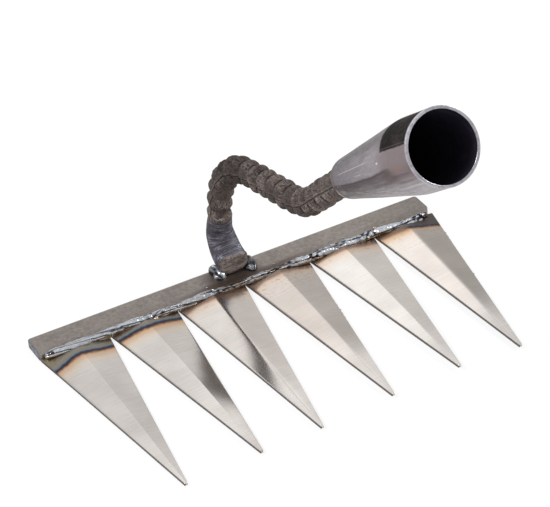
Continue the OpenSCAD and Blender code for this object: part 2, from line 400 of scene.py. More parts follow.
class RakeWeldSettings(bpy.types.PropertyGroup):
    seam_radius: length("Seam radius", "Radius of the bead along the bar", 2.6)
    strand: length("Strands", "Height of the lengthwise strands of the bead", 0.62)
    ripple: length("Ripples", "Height of the cross ripples of the bead", 0.1)
    ripple_pitch: length("Ripple pitch", "Spacing of the cross ripples", 2.2)
    lump: length("Lumps", "Unevenness of the bead along its run", 0.3)
    # Painted highlight on the bead crests.
    bright: colour("Bead metal", "Crests of the beads", 200, 203, 208)
    middle: colour("Bead flank", "Flanks of the beads", 122, 123, 128)
    # Painted shade in the crevices and along the toes, and the colour of soot.
    crevice: colour("Bead crevice", "Crevices between the strands", 34, 33, 38)
    burnt: colour("Burnt bead", "Bead near the neck's foot", 120, 103, 88)
    gold: colour("Gold spatter", "Tint of the larger spatter balls", 190, 160, 120)


class RakeNeckSettings(bpy.types.PropertyGroup):
    rod_radius: length("Rod radius", "Radius of the rod between its ribs", 6.5)
    foot_radius: length("Foot radius", "Radius of the hammered foot", 7.5)
    rib_height: length("Rib height", "Height of the cross ribs", 0.85)
    rib_valley: length("Rib valley", "Depth of the valleys between the cross ribs", 1.5)
    long_rib: length("Lengthwise rib", "Height of the two lengthwise ribs", 0.45)
    rib_pitch: length("Rib pitch", "Spacing of the cross ribs along the rod", RIB_PITCH)
    rib_slant: angle("Rib slant", "Slant of the cross ribs", 10)
    foot_squash: share("Foot squash", "How far the foot's end is hammered flat from above", 0.36)
    foot_spread: share("Foot spread", "How far the flattened foot spreads to the right", 0.24)
    scale: colour("Mill scale", "Brown grey scale of the rod", 112, 103, 98)
    # Painted highlight on the rib crests and the lengthwise ribs.
    crest: colour("Worn crest", "Rib crests where the scale is rubbed", 120, 111, 106)
    hollow: colour("Hollow", "Darker scale", 50, 44, 43)
    # Painted shade in the valleys, beside the lengthwise ribs, under the rod and along its upper side; also
    # the dark flecks.
    crevice: colour("Crevice", "Dirt in the valleys between the ribs", 32, 27, 27)
    foot: colour("Hammered foot", "Blue grey foot of the rod", 70, 68, 77)
    scratch: colour("Foot scratch", "Light scratches of the foot", 148, 148, 161)
    end_face: colour("Foot end", "Brown end face of the foot", 136, 125, 119)


class RakeSocketSettings(bpy.types.PropertyGroup):
    bore_radius: length("Bore radius", "Inside radius at the mouth", 16)
    wall: length("Wall", "Wall of the tube", 1.5)
    run: length("Length", "Length from the narrow end to the mouth", 106)
    mouth_run: length("Straight mouth", "Straight length at the mouth", 26)
    fold: length("Fold depth", "Depth of the fold along the cone's side", 0.7)
    tube: colour("Tube", "Drawn steel of the socket's side", 164, 156, 162)
    # Painted shade: the darker tone along the top of the tube.
    top: colour("Tube top", "Dull steel along the socket's top", 106, 99, 101)
    # Painted reflection: the pale tone along the underside of the tube.
    pale: colour("Pale tube", "Bright steel along the socket's underside", 184, 180, 183)
    scratch: colour("Scratch", "Light scratches along the socket", 222, 220, 226)
    # Painted shade in the fold.
    fold_dark: colour("Fold shade", "Grime in the fold", 82, 73, 73)
    warm: colour("Warm tube", "Brownish cast near the mouth", 130, 116, 117)
    patch: colour("Scale patch", "Dark scale left near the mouth", 15, 12, 12)
    rim: colour("Rim", "Freshly cut rim", 188, 186, 192)
    # Near black inside the bore.
    bore: colour("Bore", "Scale inside the bore", 36, 33, 44)


class RakeStageSettings(bpy.types.PropertyGroup):
    floor: colour("Floor", "Pale floor", 247, 247, 247)
    sky_level: power("Studio level", "Brightness of the studio around the object", 0.74)
    window_level: power("Window level", "Added brightness of the large soft window", 0.46)
    key_power: power("Key lamp", "Power of the key lamp in watts", 22)
    rim_power: power("Rim lamp", "Power of the rim lamp in watts", 12)
    distance: length("Camera distance", "Distance of the camera from its aim", 1344.8)
    lens: power("Lens", "Focal length in millimetres on a 36 mm sensor", 174.18)
    azimuth: angle("Camera azimuth", "Turn of the camera round the object", -26.4)
    elevation: angle("Camera elevation", "Height of the camera above the floor's plane", 35.15)
    roll: angle("Camera roll", "Roll of the camera about its line of sight", 4.42)
    aim: bpy.props.FloatVectorProperty(
        name="Camera aim", description="Point that the camera looks at", size=3,
        default=(0.00846, -0.03262, 0.0325), subtype="TRANSLATION", unit="LENGTH")


class RakeSettings(bpy.types.PropertyGroup):
    plates: subgroup(RakePlateSettings, "Plates", "Bar and teeth")
    welds: subgroup(RakeWeldSettings, "Welds", "Weld beads")
    neck: subgroup(RakeNeckSettings, "Neck", "Ribbed rod")
    socket: subgroup(RakeSocketSettings, "Socket", "Handle socket")
    stage: subgroup(RakeStageSettings, "Stage", "Floor, light, camera")


def settings(part):
    """The settings group of one part of the rake head."""
    return getattr(bpy.context.scene.rake_head, part)


def node_box(name):
    """Lowest and highest corner of a CAD node in mm."""
    low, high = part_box(name)
    return np.array(low) / MM, np.array(high) / MM


# Crossbar

def rectangle_columns(top, side, arc):
    """Columns round a rounded rectangle: (place of the arc's centre on the inner rectangle, -1 to 1,
    and direction of the arc), four arcs of 90 degrees with straight runs between them."""
    corners = np.array([(1, 1), (-1, 1), (-1, -1), (1, -1)], float)
    columns = []
    for k, count in enumerate((top, side, top, side)):
        turns = np.radians(np.linspace(90 * k, 90 * k + 90, arc))
        runs = np.arange(1, count)[:, None] / count
        run = corners[k] + (corners[(k + 1) % 4] - corners[k]) * runs
        last = np.tile([np.cos(turns[-1]), np.sin(turns[-1])], (count - 1, 1))
        columns += [np.hstack([np.tile(corners[k], (arc, 1)), np.stack([np.cos(turns), np.sin(turns)], 1)]),
                    np.hstack([run, last])]
    return np.vstack(columns)


def bar_skin(plates):
    """Flat bar along X: a rounded rectangle at each x. At d from an end the front and back edges come in
    by R - sqrt(R^2 - (R - d)^2) for the plan corner R, and the whole section shrinks by the same rule for
    the edge rounding. Shallow waves stay below the rolled top."""
    row_step, least_edge, wave_depth = 1.2, 0.03, 0.035
    low, high = node_box("crossbar")
    edge, plain, worn = (v / MM for v in (plates.bar_edge, plates.bar_corner, plates.worn_corner))
    arc = 1 - np.cos(np.linspace(0, np.pi / 2, 9))
    ends = np.concatenate([edge * arc, plain * arc, worn * arc])
    rows = np.arange(low[0] + worn, high[0] - worn, row_step)
    x = np.unique(np.concatenate([low[0] + ends, high[0] - ends, rows]))
    x = x[np.concatenate([[True], np.diff(x) > 1e-3])]
    x[-1] = high[0]
    gap = np.minimum(x - low[0], high[0] - x)
    shrink = rounded(gap, edge)
    front = low[1] + np.where(x > 0, rounded(gap, worn), rounded(gap, plain)) + shrink
    back = high[1] - rounded(gap, plain) - shrink
    column = rectangle_columns(22, 4, 6).T
    small = np.maximum(edge - shrink, least_edge)[:, None]
    half_y, half_z = ((back - front) / 2)[:, None], ((high[2] - low[2]) / 2 - shrink)[:, None]
    y = ((front + back) / 2)[:, None] + column[0] * (half_y - small) + small * column[2]
    z = (high[2] + low[2]) / 2 + column[1] * (half_z - small) + small * column[3]
    rings = trio(x[:, None], y, z)
    waves = wave_depth * (dents(rings * (0.4, 1, 1), 9, 11) - 1.6)
    rings[..., 2] += np.where(column[3] > 0.9, waves, 0) * ease(gap, 0, 2)[:, None]
    return skin(rings, {})


def bar_finish(plates):
    """Rolled steel: fine streaks along X, cloudy scale, a burnt halo round the neck's foot and along the
    weld, a painted highlight along the back top edge and darker ends."""
    material, f = new_finish("rolled_bar_steel")
    spot = f.places()
    x, y, z = f.parts(spot)
    streak = f.noise(f.stretch(spot, (0.04, 3.0, 3.0)), 1.0, 4, 0.65)
    fine = f.noise(f.stretch(spot, (0.12, 8, 8)), 1.0, 2)
    cloud = f.noise(spot, 0.07, 4, 0.55)
    speck = f.noise(spot, 1.6, 3, 0.7)
    blotch = f.noise(spot, 0.45, 4, 0.65)
    mottle = streak * 0.25 + blotch * 0.45 + cloud * 0.3
    base = f.mix(f.step(mottle, 0.36, 0.64), plates.bar_steel, plates.bar_dark)
    base = f.mix(f.step(speck, 0.6, 0.7) * 0.35, base, plates.bar_dark)
    base = f.times(base, f.step(x, -40, 30, 1.0, 1.12))
    base = f.times(base, f.step(x, 58, 110, 1.0, 0.84))
    near = f.node("ShaderNodeVectorMath", {"operation": "DISTANCE"}, {
        0: f.stretch(spot, (1, 1.2, 0)), 1: (-1, -2.5, 0)}, 1)
    halo = 1 - f.step(near + (cloud - 0.5) * 12, 8, 21)
    burnt_run = f.band(x, -40, -12, 20, 52)
    seam = (1 - f.step(y + (cloud - 0.5) * 5, -5.6, -1.8)) * (0.14 + burnt_run * 0.65)
    base = f.mix(halo * 0.75, base, plates.bar_burnt)
    base = f.mix(seam, base, plates.bar_burnt)
    # Painted highlight: a lighter strip along the rounded back top edge.
    rub_wear_and_highlight = f.step(y, 7.2, 7.8) * f.step(z, 3.9, 4.3)
    base = f.mix(rub_wear_and_highlight * 0.6, base, tone(196, 190, 186))
    ends = f.step(x, 114.2, 114.8) + (1 - f.step(x, -114.8, -114.2))
    cut_end = f.mix(f.step(blotch, 0.4, 0.6), tone(62, 66, 78), tone(124, 128, 140))
    base = f.mix(ends * 0.8, base, cut_end)
    rough = 0.36 + fine * 0.12 + halo * 0.14
    normal = f.bump(fine * 0.6 + streak * 0.6, 0.022, 0.7)
    f.metal(base, rough, 1.0, normal)
    return material


# Teeth

# Heat tint line of each tooth as (x, y) places in mm, and its share of navy and of straw
TINT_LINES = (
    ((-116, -23.6), (-106, -20.3), (-101, -18.6), (-96, -18.6), (-91, -19), (-85, -19), (-78, -19.3)),
    ((-77, -17.9), (-67, -16.4), (-61, -16.3), (-57, -16.9), (-52, -16.6), (-46, -16.8), (-38, -17.8)),
    ((-38, -15.4), (-29, -12.4), (-19.5, -12.6), (-11, -12.2), (1, -14)),
    ((2, -16.6), (7.5, -13.6), (13, -12.2), (19, -12.6), (29, -13.2), (40, -14.2)),
    ((40, -12.8), (49, -12.6), (57, -13.2), (64, -13.4), (79, -14.6)),
    ((79, -13.4), (89, -14.4), (96, -15.4), (104, -17.8), (116, -20.8)),
)
TINT_SHARES = ((0.95, 0.85), (0.95, 0.9), (0.12, 0.55), (0.05, 0.4), (0.1, 0.65), (0.75, 0.9))
# Warm cast of the left and right half of each tooth
WARM_CASTS = ((0.0, 0.0), (0.0, 0.15), (0.1, 0.3), (0.45, 0.45), (0.0, 0.2), (0.3, 0.4))
# Painted reflection: tone of the left half, the right half and the tip of each tooth, lighter or darker as
# the creased halves catch the light, 1 for the brushed steel as it is
PAINTED_HALF_REFLECTIONS = ((0.97, 0.98, 0.96), (1.0, 1.04, 1.0), (1.06, 1.04, 1.07), (0.98, 0.8, 1.1),
              (1.14, 1.06, 1.1), (1.15, 0.66, 1.12))
# Bend of each tooth's crease, 1 for the plate settings' radius, and how it flattens towards the tip:
# (share, start and end in mm from the root)
CREASE_BENDS = (0.06, 0.06, 1.0, 0.4, 0.4, 0.5)
CREASE_FADES = ((0.5, 70, 108), (1.0, 62, 98), (0.73, 37, 97), (0.9, 60, 96), (0.9, 72, 112),
                (0.9, 70, 106))
# Distances from the crease, in mm, of the close columns beside it
CREASE_COLUMNS = (2.6, 1.9, 1.35, 0.95, 0.65, 0.4, 0.2)
# Stretches of strong burr on the right edge, by tooth number from 0: (y, half length in mm)
BURRS = {3: ((-58, 14),), 5: ((-31, 12), (-67, 3))}


def tooth_corners(name):
    """The six corners of a tooth's root and of its tip, as [end][left, crease, right][under, top] in mm,
    read from the CAD node."""
    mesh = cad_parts[name].data
    spots = np.zeros(len(mesh.vertices) * 3)
    mesh.vertices.foreach_get("co", spots)
    spots = np.unique((spots.reshape(-1, 3) / MM).round(3), axis=0)
    ends = []
    for chosen in (spots[:, 1] > spots[:, 1].max() - 0.05, spots[:, 1] < spots[:, 1].min() + 0.2):
        six = spots[chosen]
        if len(six) != 6:
            raise RuntimeError(f"{name} has {len(six)} corners at one end, and 6 are expected")
        six = six[np.argsort(six[:, 0])].reshape(3, 2, 3)
        ends.append(np.stack([pair[np.argsort(pair[:, 2])] for pair in six]))
    return np.stack(ends)


def tooth_top(number, x, y):
    """Height of a tooth's upper side over places x, y in mm: its crease line, falling off to both edges."""
    root, tip = tooth_corners(f"tooth_{number + 1}")[:, :, 1]
    t = np.clip((root[1, 1] - y) / (root[1, 1] - tip[1, 1]), 0, 1)[..., None]
    left, crease, right = (root[k] * (1 - t) + tip[k] * t for k in range(3))
    outer = np.where((x < crease[..., 0])[..., None], left, right)
    out = np.abs(x - crease[..., 0]) / np.abs(outer[..., 0] - crease[..., 0])
    return crease[..., 2] + (outer[..., 2] - crease[..., 2]) * np.minimum(out, 1)


def tooth_columns(edge):
    """Columns round a tooth's section: (side, mm in from its edge, share of the flat, mm from the crease or
    -1, mm below the top, 1 under the plate), with an arc of the edge rounding at each corner."""
    arc = np.radians(np.linspace(0, 90, 5))
    into, below = edge * (1 - np.cos(arc)), edge * (1 - np.sin(arc))
    flat = np.array([0.06, 0.16, 0.3, 0.45, 0.6, 0.75, 0.9])
    near = np.array(CREASE_COLUMNS)
    half = np.vstack([trio(into, 0 * into, -1), trio(edge, flat, -1), trio(edge, 0, near)])
    drop = np.concatenate([below, np.zeros(len(flat) + len(near))])
    left = np.column_stack([-np.ones(len(half)), half, drop, np.zeros(len(half))])
    right = left[::-1] * (-1, 1, 1, 1, 1, 1)
    over = np.vstack([left, [[1, edge, 0, 0, 0, 0]], right])
    under = over[::-1][::2] * (1, 1, 1, 1, 1, 0) + (0, 0, 0, 0, 0, 1)
    wall = np.array([[1, 0, 0, -1, 0, 0.5]])
    return np.vstack([over, wall, under, wall * (-1, 1, 1, 1, 1, 1)])


def tooth_skin(number, plates):
    """Plate lofted from root to tip: each column runs straight from the root's corner to the tip's, with
    rounded edges, a crease bent over a small radius k as sqrt(a^2 + k^2) that flattens towards the tip,
    gentle waves, burrs on some right edges and a rounded point. The marks are (mm beyond the heat tint line,
    towards the tip, its share of navy, of straw) and (sheared or sooty, painted reflection tone of each half
    and of the tip, warm cast)."""
    point, narrow, least_bend = 0.45, 5.2, 0.15
    root, tip = tooth_corners(f"tooth_{number + 1}")
    edge = plates.tooth_edge / MM
    reach = root[0, 1, 1] - tip[0, 1, 1]
    ends = 1 - point / reach * (1 - np.cos(np.linspace(0, np.pi / 2, 7)))
    along = np.unique(np.concatenate([np.linspace(0, 1, 170), ends]))
    t = along[:, None, None, None]
    section = root * (1 - t) + tip * t
    side, into, part, near, below, under = tooth_columns(edge).T
    near = np.where(near > 0, near * max(CREASE_BENDS[number], least_bend), near)
    pick = np.where(side < 0, 0, 2)
    outer, middle = section[:, pick, 1], section[:, [1] * len(pick), 1]
    wide = np.linalg.norm(middle - outer, axis=-1)
    small = np.minimum(1, wide / narrow)
    into = np.minimum(into, 0.45 * wide)
    on_flat = into + part * (wide - into - CREASE_COLUMNS[0] * small)
    apart = np.where(near >= 0, wide - near * small, on_flat)
    inward = wide - apart
    share_in = apart / wide
    thick = section[:, 1, 1, 2] - section[:, 1, 0, 2]
    depth = np.where(under == 1, thick[:, None] - below, np.where(under == 0.5, thick[:, None] / 2, below))
    rings = outer + (middle - outer) * share_in[..., None]
    fall = (middle[..., 2] - outer[..., 2]) / wide
    bend = plates.crease_bend / MM * CREASE_BENDS[number] * small
    flattening, fade_from, fade_to = CREASE_FADES[number]
    tipward = ease(along * reach, fade_from, fade_to)[:, None]
    flat = flattening * tipward
    rings[..., 2] -= depth + fall * (apart * flat + np.sqrt(inward ** 2 + bend ** 2) - inward)
    free = ease(along * reach, 4, 16)[:, None]
    waves = np.clip(dents(rings * (1, 0.7, 0), 34, 31 + number), -1, 1)
    rings[..., 2] += plates.waviness / MM * 0.5 * (1 + waves) * free
    y = rings[..., 1]
    at_edge = (1 - share_in) ** 30
    rough = 0.35 * np.abs(wander(y * 2.6, 41 + number)) * plates.burr / MM
    strong = sum((hump(y, at, half) for at, half in BURRS.get(number, ())), np.zeros_like(y))
    burr = rough + np.where(side > 0, strong * np.clip(wander(y * 1.5, 7), 0, 1) * 4 * plates.burr / MM, 0)
    rings[..., 0] += side * at_edge * (burr - 0.12) * free
    shrink = rounded((1 - along) * reach, point)[:, None, None]
    heart = rings.mean(1, keepdims=True)
    rings += (heart - rings) * np.minimum(shrink / 0.8, 0.9)
    x, y = rings[..., 0], rings[..., 1]
    line = np.array(TINT_LINES[number], float).T
    smooth = sum(np.interp(x + shift, *line) for shift in (-2, -1, 0, 1, 2)) / 5
    tint = smooth + 0.3 * wander(x / 4, 61 + number)
    navy, straw = TINT_SHARES[number]
    cut = np.where(under == 0.5, 1.0, np.where(below > edge * 0.55, 0.8, 0.0))
    if number == TEETH - 1:
        # The last tooth turns from straw to navy across its width, and its outer corner is sooty
        navy = 0.2 + 0.75 * ease(x, 94, 98)
        straw = 1.0 - 0.8 * ease(x, 95.5, 98.5)
        cut = np.maximum(cut, 0.85 * ease(x, 91, 102) * ease(y - tint, 0.3, 2.4))
    # Painted reflection: each creased half of the tooth and its tip get their own lighter or darker tone.
    half = np.where(near == 0, 0, side) * ease(inward, 0.0, 1.6)
    left, right, point_tone = PAINTED_HALF_REFLECTIONS[number]
    level = (left + right) / 2 + (right - left) / 2 * half
    level = level + (point_tone - level) * tipward
    left, right = WARM_CASTS[number]
    cast = ((left + right) / 2 + (right - left) / 2 * half) * ease(y, -118, -60)
    return skin(rings, {"tint": trio(tint - y, navy, straw), "lay": trio(cut, level, cast)})


def tooth_finish(plates):
    """Brushed plate: fine lines along X in tone and bump, a warm cast, and heat tint along its own line.
    From the weld outwards that is grey and rose fringes, blue, navy, purple, brown, orange and straw, or
    soot with a tan rim on the middle teeth, with brown specks beyond it. The sheared side faces are dark."""
    brushed = math.radians(5)
    material, f = new_finish("brushed_tooth_steel")
    spot = f.places()
    gap, navy, straw = f.parts(f.mark("tint"))
    cut, level, cast = f.parts(f.mark("lay"))
    fine = f.noise(f.stretch(spot, (0.09, 5.5, 0.0), brushed), 1.0, 3, 0.6)
    wide = f.noise(f.stretch(spot, (0.03, 1.3, 0.0), brushed), 1.0, 3, 0.55)
    cloud = f.noise(spot, 0.05, 3, 0.5)
    grain = f.noise(spot, 0.5, 4, 0.6)
    base = f.mix(f.step(fine * 0.4 + wide * 0.2 + cloud * 0.4, 0.34, 0.66), plates.dull, plates.bright)
    # Painted reflection: the tone of each creased half and of the tip.
    base = f.times(base, level)
    base = f.mix(cast * (0.6 + cloud * 0.8), base, f.tinted(base, plates.cast))
    far = gap + (grain - 0.5) * 1.8 + (cloud - 0.5) * 2.4
    glow = (1 - f.step(far, 1.0, 13)) * straw * (0.7 + grain * 0.6)
    warm = f.mix(f.step(far, 1.5, 8), plates.orange, plates.straw)
    base = f.mix(glow * 0.9, base, warm)
    outwards = f.line(far, -7, 3)
    sharp = f.ramp(outwards, (
        (0.0, plates.oxide), (0.12, plates.sky), (0.22, plates.rose), (0.33, plates.oxide),
        (0.44, plates.sky), (0.53, plates.steel_blue), (0.6, plates.navy), (0.68, plates.purple),
        (0.76, plates.brown), (0.88, plates.orange), (1.0, plates.straw)))
    dull = f.ramp(outwards, (
        (0.0, plates.soot), (0.55, plates.soot), (0.8, plates.brown), (1.0, plates.tan)))
    burnt = f.times(f.mix(navy, dull, sharp), 0.82 + grain * 0.36)
    burn = 1 - f.step(far, 0.6, 3.4)
    base = f.mix(burn * (0.78 + navy * 0.2), base, burnt)
    spots = f.step(grain, 0.56, 0.66) * (1 - f.step(gap, 2, 9)) * (1 - navy) * 0.35
    spots = spots + f.step(grain * 0.6 + cloud * 0.4, 0.5, 0.62) * (1 - f.step(gap, 4, 26)) * cast * 0.4
    base = f.mix(spots, base, plates.brown)
    base = f.mix(cut, base, plates.cut_edge)
    rough = plates.roughness + fine * 0.06 + burn * 0.14 + cut * 0.25
    normal = f.bump(fine + wide * 0.5, 0.004, 0.6)
    f.metal(base, rough, 1.0, normal)
    return material


# Weld beads

# Middle line of the seam bead
SEAM_Y, SEAM_Z = -9.0, 2.97
# Places along X where one welding run stops and the next starts: (x, half width in mm, depth share)
SEAM_BREAKS = ((-87, 1.8, 0.3), (-55, 1.5, 0.3), (-38.5, 1.4, 0.6), (1, 1.8, 0.4), (17, 1.6, 0.3),
               (40.5, 1.6, 0.5), (79.2, 1.2, 1.2), (-110.4, 1.3, 0.5), (105, 1.8, 0.4))
# Thin stretches of the seam: (middle, half length, share of the radius taken off)
SEAM_THIN = ((-46, 16, 0.22), (-4, 18, 0.44), (20, 20, 0.28), (90, 14, 0.1))
# Sooty stretches of the seam: (middle, half length, how dark)
SEAM_DARK = ((-72, 10, 0.2), (-48, 14, 0.5), (-6, 22, 1.0), (22, 16, 0.8), (42, 10, 0.6),
             (58, 14, 0.3), (76, 12, 0.6), (98, 12, 0.3), (109, 9, 2.0))


def seam_shape(x, turn, welds):
    """Radius and relief (0 in a crevice, 1 on a crest) of the seam bead at x and turn about its middle line:
    strands |n| of a bumpy field n, drawn out along x and twisted a little like a rope, faint cross ripples
    |sin pi x / pitch|, lumps along x, thin stretches, and dips where one run stops and the next starts. The
    relief is painted light: it makes the crests bright as highlights and the crevices dark as shade. Sooty
    stretches take relief off, and so does painted shadow along the toes on both sides."""
    size = welds.seam_radius / MM
    twist = turn + 0.03 * x + 0.25 * wander(x / 9, 10)
    place = trio(x * 0.08, size * np.cos(twist), size * np.sin(twist))
    field = dents(place, 3.3, 3) + 0.2 * dents(place * (4, 1, 1), 2.4, 4)
    strands = np.minimum(np.abs(field) * 1.6, 1) ** 0.8
    warp = x + 1.2 * np.cos(turn) ** 2 + 0.9 * wander(x / 2.6, 5)
    ripples = np.abs(np.sin(np.pi * warp / (welds.ripple_pitch / MM))) ** 0.6
    lumps = wander(x / 4.2, 7) + 0.6 * wander(x / 1.1 + turn, 8)
    dips, thin, dark = (sum(much * hump(x, at, half) for at, half, much in stretches)
                        for stretches in (SEAM_BREAKS, SEAM_THIN, SEAM_DARK))
    radius = size * (1 - thin) + welds.lump / MM * 0.5 * lumps - 0.6 * dips
    radius = radius + welds.strand / MM * (strands - 0.85) + welds.ripple / MM * (ripples - 0.7)
    broken = 0.4 + 1.1 * dents(trio(x * 0.8, size * np.cos(turn), size * np.sin(turn)), 2.4, 6)
    # Painted shadow along the lower toe, and a painted shadow line along the upper toe where the bead meets
    # the bar.
    lower_toe_shadow = 1 - ease(turn, np.radians(2), np.radians(34))
    upper_toe_shadow = ease(turn, np.radians(116), np.radians(138)) * np.clip(0.6 + wander(x / 3, 15), 0, 1)
    relief_and_painted_light = 0.2 + 0.72 * strands + 0.1 * ripples + 0.06 * lumps - 0.3 * np.minimum(dips, 1)
    sooty = dark * np.clip(broken, 0, 1.4)
    return radius, np.clip(relief_and_painted_light - sooty - 0.15 * lower_toe_shadow - 0.55 * upper_toe_shadow, 0, 1)


def seam_skin(number, welds):
    """One tooth's bead: columns turn from the tooth's top over to the bar's top about the bead's middle line,
    then close inside the plates. The outer ends of the seam stop short and are rounded off, and the right end
    slips forwards and down. Nothing reaches through the creased tooth to its underside. The mark is (height
    of the bead with its painted light, burnt brown, gold)."""
    row_step, late_start, early_stop, end_run = 0.28, 2.2, 4.5, 3.2
    slip_ahead, slip_down = 0.9, 0.6
    low, high = node_box(f"seam_weld_{number + 1}")
    low[0] += late_start if number == 0 else 0
    high[0] -= early_stop if number == TEETH - 1 else 0
    x = np.linspace(low[0], high[0], int((high[0] - low[0]) / row_step))
    end = np.ones_like(x)
    if number in (0, TEETH - 1):
        fine = end_run * (1 - np.cos(np.linspace(0, np.pi / 2, 14)))
        x = np.unique(np.concatenate([x, low[0] + fine if number == 0 else high[0] - fine]))
        end = dome(x - low[0] if number == 0 else high[0] - x, end_run)
    end = end[:, None]
    turn = np.radians(np.linspace(-28, 160, 64))
    xx, tt = np.meshgrid(x, turn, indexing="ij")
    radius, relief_and_painted_light = seam_shape(xx, tt, welds)
    slip = ease(x, 84, 102)[:, None]
    sway = 0.25 * wander(x / 6, 9)[:, None] - slip_ahead * slip
    inside = np.ones((len(x), 2))
    y = np.hstack([SEAM_Y + sway - radius * np.cos(tt) * end, SEAM_Y + inside * (1.4, -1.0) * end])
    over = SEAM_Z - slip_down * slip + radius * np.sin(tt) * end
    z = np.hstack([over, SEAM_Z + inside * (-0.6, -1.6) * end])
    across = np.hstack([xx, xx[:, :2]])
    depth = np.append(np.full(len(turn), 0.5), (0.9, 0.9))
    z = np.maximum(z, np.minimum(tooth_top(number, across, y) - depth, BAR_TOP - 0.4))
    relief_and_painted_light = np.hstack([relief_and_painted_light, 0 * inside])
    burnt = 0.9 * hump(across, -4, 17) + 0.6 * hump(across, 20, 20) + 0.2 * hump(across, -30, 16)
    toe = np.hstack([1 - ease(tt, np.radians(0), np.radians(30)), inside])
    return skin(trio(across, y, z), {"bead": trio(relief_and_painted_light, np.maximum(burnt, 0.6 * toe), 0.75 * toe)})


def foot_bead_skin(side):
    """Lump of weld beside the neck's foot along Y, closed below the bar's top: radius as a rounded sausage
    with thin lines |sin pi w / pitch|^0.35 across its warped length w, and shallow lumps. The left one
    carries a painted highlight on its side towards the foot; the right one is longer and darker, and tapers
    to -Y."""
    left = side < 0
    base, pitch, middle = (3.4, 5.6, -7.6) if left else (3.8, 4.6, 10)
    longer, taper, line_height, sunk = 2, 0.35, 0.2, -0.8
    low, high = node_box("neck_weld_left" if left else "neck_weld_right")
    low[1] -= 0 if left else longer
    span = high[1] - low[1]
    along = span / 2 * (1 - np.cos(np.linspace(0.02, np.pi - 0.02, 90)))
    turn = np.linspace(0, 2 * np.pi, 56, endpoint=False)
    yy, tt = np.meshgrid(along, turn, indexing="ij")
    body = base * dome(np.minimum(yy, span - yy), base)
    body = body if left else body * (1 - taper * (1 - ease(yy, 0, 7)))
    warp = yy + 1.4 * np.sin(tt) + 0.8 * wander(yy / 3, 12) + 0.5 * wander(tt * 2, 14)
    coil = np.abs(np.sin(np.pi * warp / pitch)) ** 0.35
    lumps = dents(trio(yy * 0.5, base * np.cos(tt), base * np.sin(tt)), 3.2, 13 + side)
    radius = body * (0.98 + line_height / base * (coil - 0.6) + 0.05 * lumps)
    over = np.maximum(radius * np.sin(tt), sunk)
    rings = trio(middle + radius * np.cos(tt), low[1] + yy, BAR_TOP + over)
    # Painted highlight: the left bead is lighter on its side towards the foot.
    bright = 0.42 + 0.34 * np.cos(tt) if left else 0.12
    relief_and_painted_light = np.clip(bright + 0.25 * coil + 0.3 * lumps, 0, 1)
    return skin(rings, {"bead": trio(relief_and_painted_light, 0.0 if left else 0.1, 0)})


def collar_skin():
    """Weld ring round the rod at the socket's narrow end: a round section with a flat at the socket,
    carried round the axis, its size rippling with the turn; rows and columns both close."""
    ring_radius, bead_size, set_back, seat = 7.0, 1.25, -0.9, 0.3
    turn = np.linspace(0, 2 * np.pi, 168, endpoint=False)
    round_it = np.linspace(0, 2 * np.pi, 22, endpoint=False)
    tt, rr = np.meshgrid(turn, round_it, indexing="ij")
    coil = np.abs(np.sin(9 * tt + 0.9 * np.sin(2 * tt))) ** 0.6
    lumps = 0.5 * np.sin(3 * tt + 1) + 0.5 * np.sin(5 * tt + 2)
    size = bead_size + 0.18 * (coil - 0.6) + 0.2 * lumps
    radius = ring_radius + size * np.cos(rr) * 0.9
    back = set_back + size * np.sin(rr)
    rings = at_lip(trio(radius * np.cos(tt), radius * np.sin(tt), np.minimum(back, seat)))
    relief_and_painted_light = np.clip(0.3 + 0.5 * coil + 0.3 * lumps, 0, 1)
    return skin(rings, {"bead": trio(relief_and_painted_light, 0.5, 0)}, loop=True)


# Spatter balls on bar, teeth and seam: (x, y, height of the ball's middle, radius) in mm
SPATTER = ((-51.2, -11.2, 3.0, 1.5), (-108.9, -10.2, 4.9, 0.9), (-18, -4.2, 4.6, 0.4),
           (21, -4.8, 4.6, 0.35), (-58, -12.6, 2.4, 0.5), (-29, -12.9, 2.2, 0.4),
           (30, -12.8, 2.3, 0.45), (34.5, -14.1, 2.1, 0.35), (63, -4.6, 4.6, 0.4),
           (81, -6.6, 4.9, 0.8), (104.5, -10.6, 3.9, 0.8), (-92, -4.9, 4.6, 0.35))
# The dark one that lies in the crater where the seam starts
SPATTER_PIT = 1


def spatter_skins():
    """Small balls sunk into what they fell on: spheres over latitude and turn, a little out of round. The
    larger ones are gold."""
    lat = np.radians(np.linspace(-86, 86, 9))
    turn = np.linspace(0, 2 * np.pi, 14, endpoint=False)
    ll, tt = np.meshgrid(lat, turn, indexing="ij")
    made = []
    for k, (x, y, z, radius) in enumerate(SPATTER):
        grow = radius * (1 + 0.12 * np.sin(2 * tt + k) * np.cos(ll))
        rings = trio(x + grow * np.cos(ll) * np.cos(tt), y + grow * np.cos(ll) * np.sin(tt),
                     z + 0.8 * grow * np.sin(ll))
        gold = 1.0 if radius > 0.7 else 0.3
        relief_and_painted_light, burnt, gold = (0.1, 0.9, 0.0) if k == SPATTER_PIT else (0.85, 0.25, gold)
        made.append(skin(rings, {"bead": trio(relief_and_painted_light + 0 * tt, burnt, gold)}))
    return made


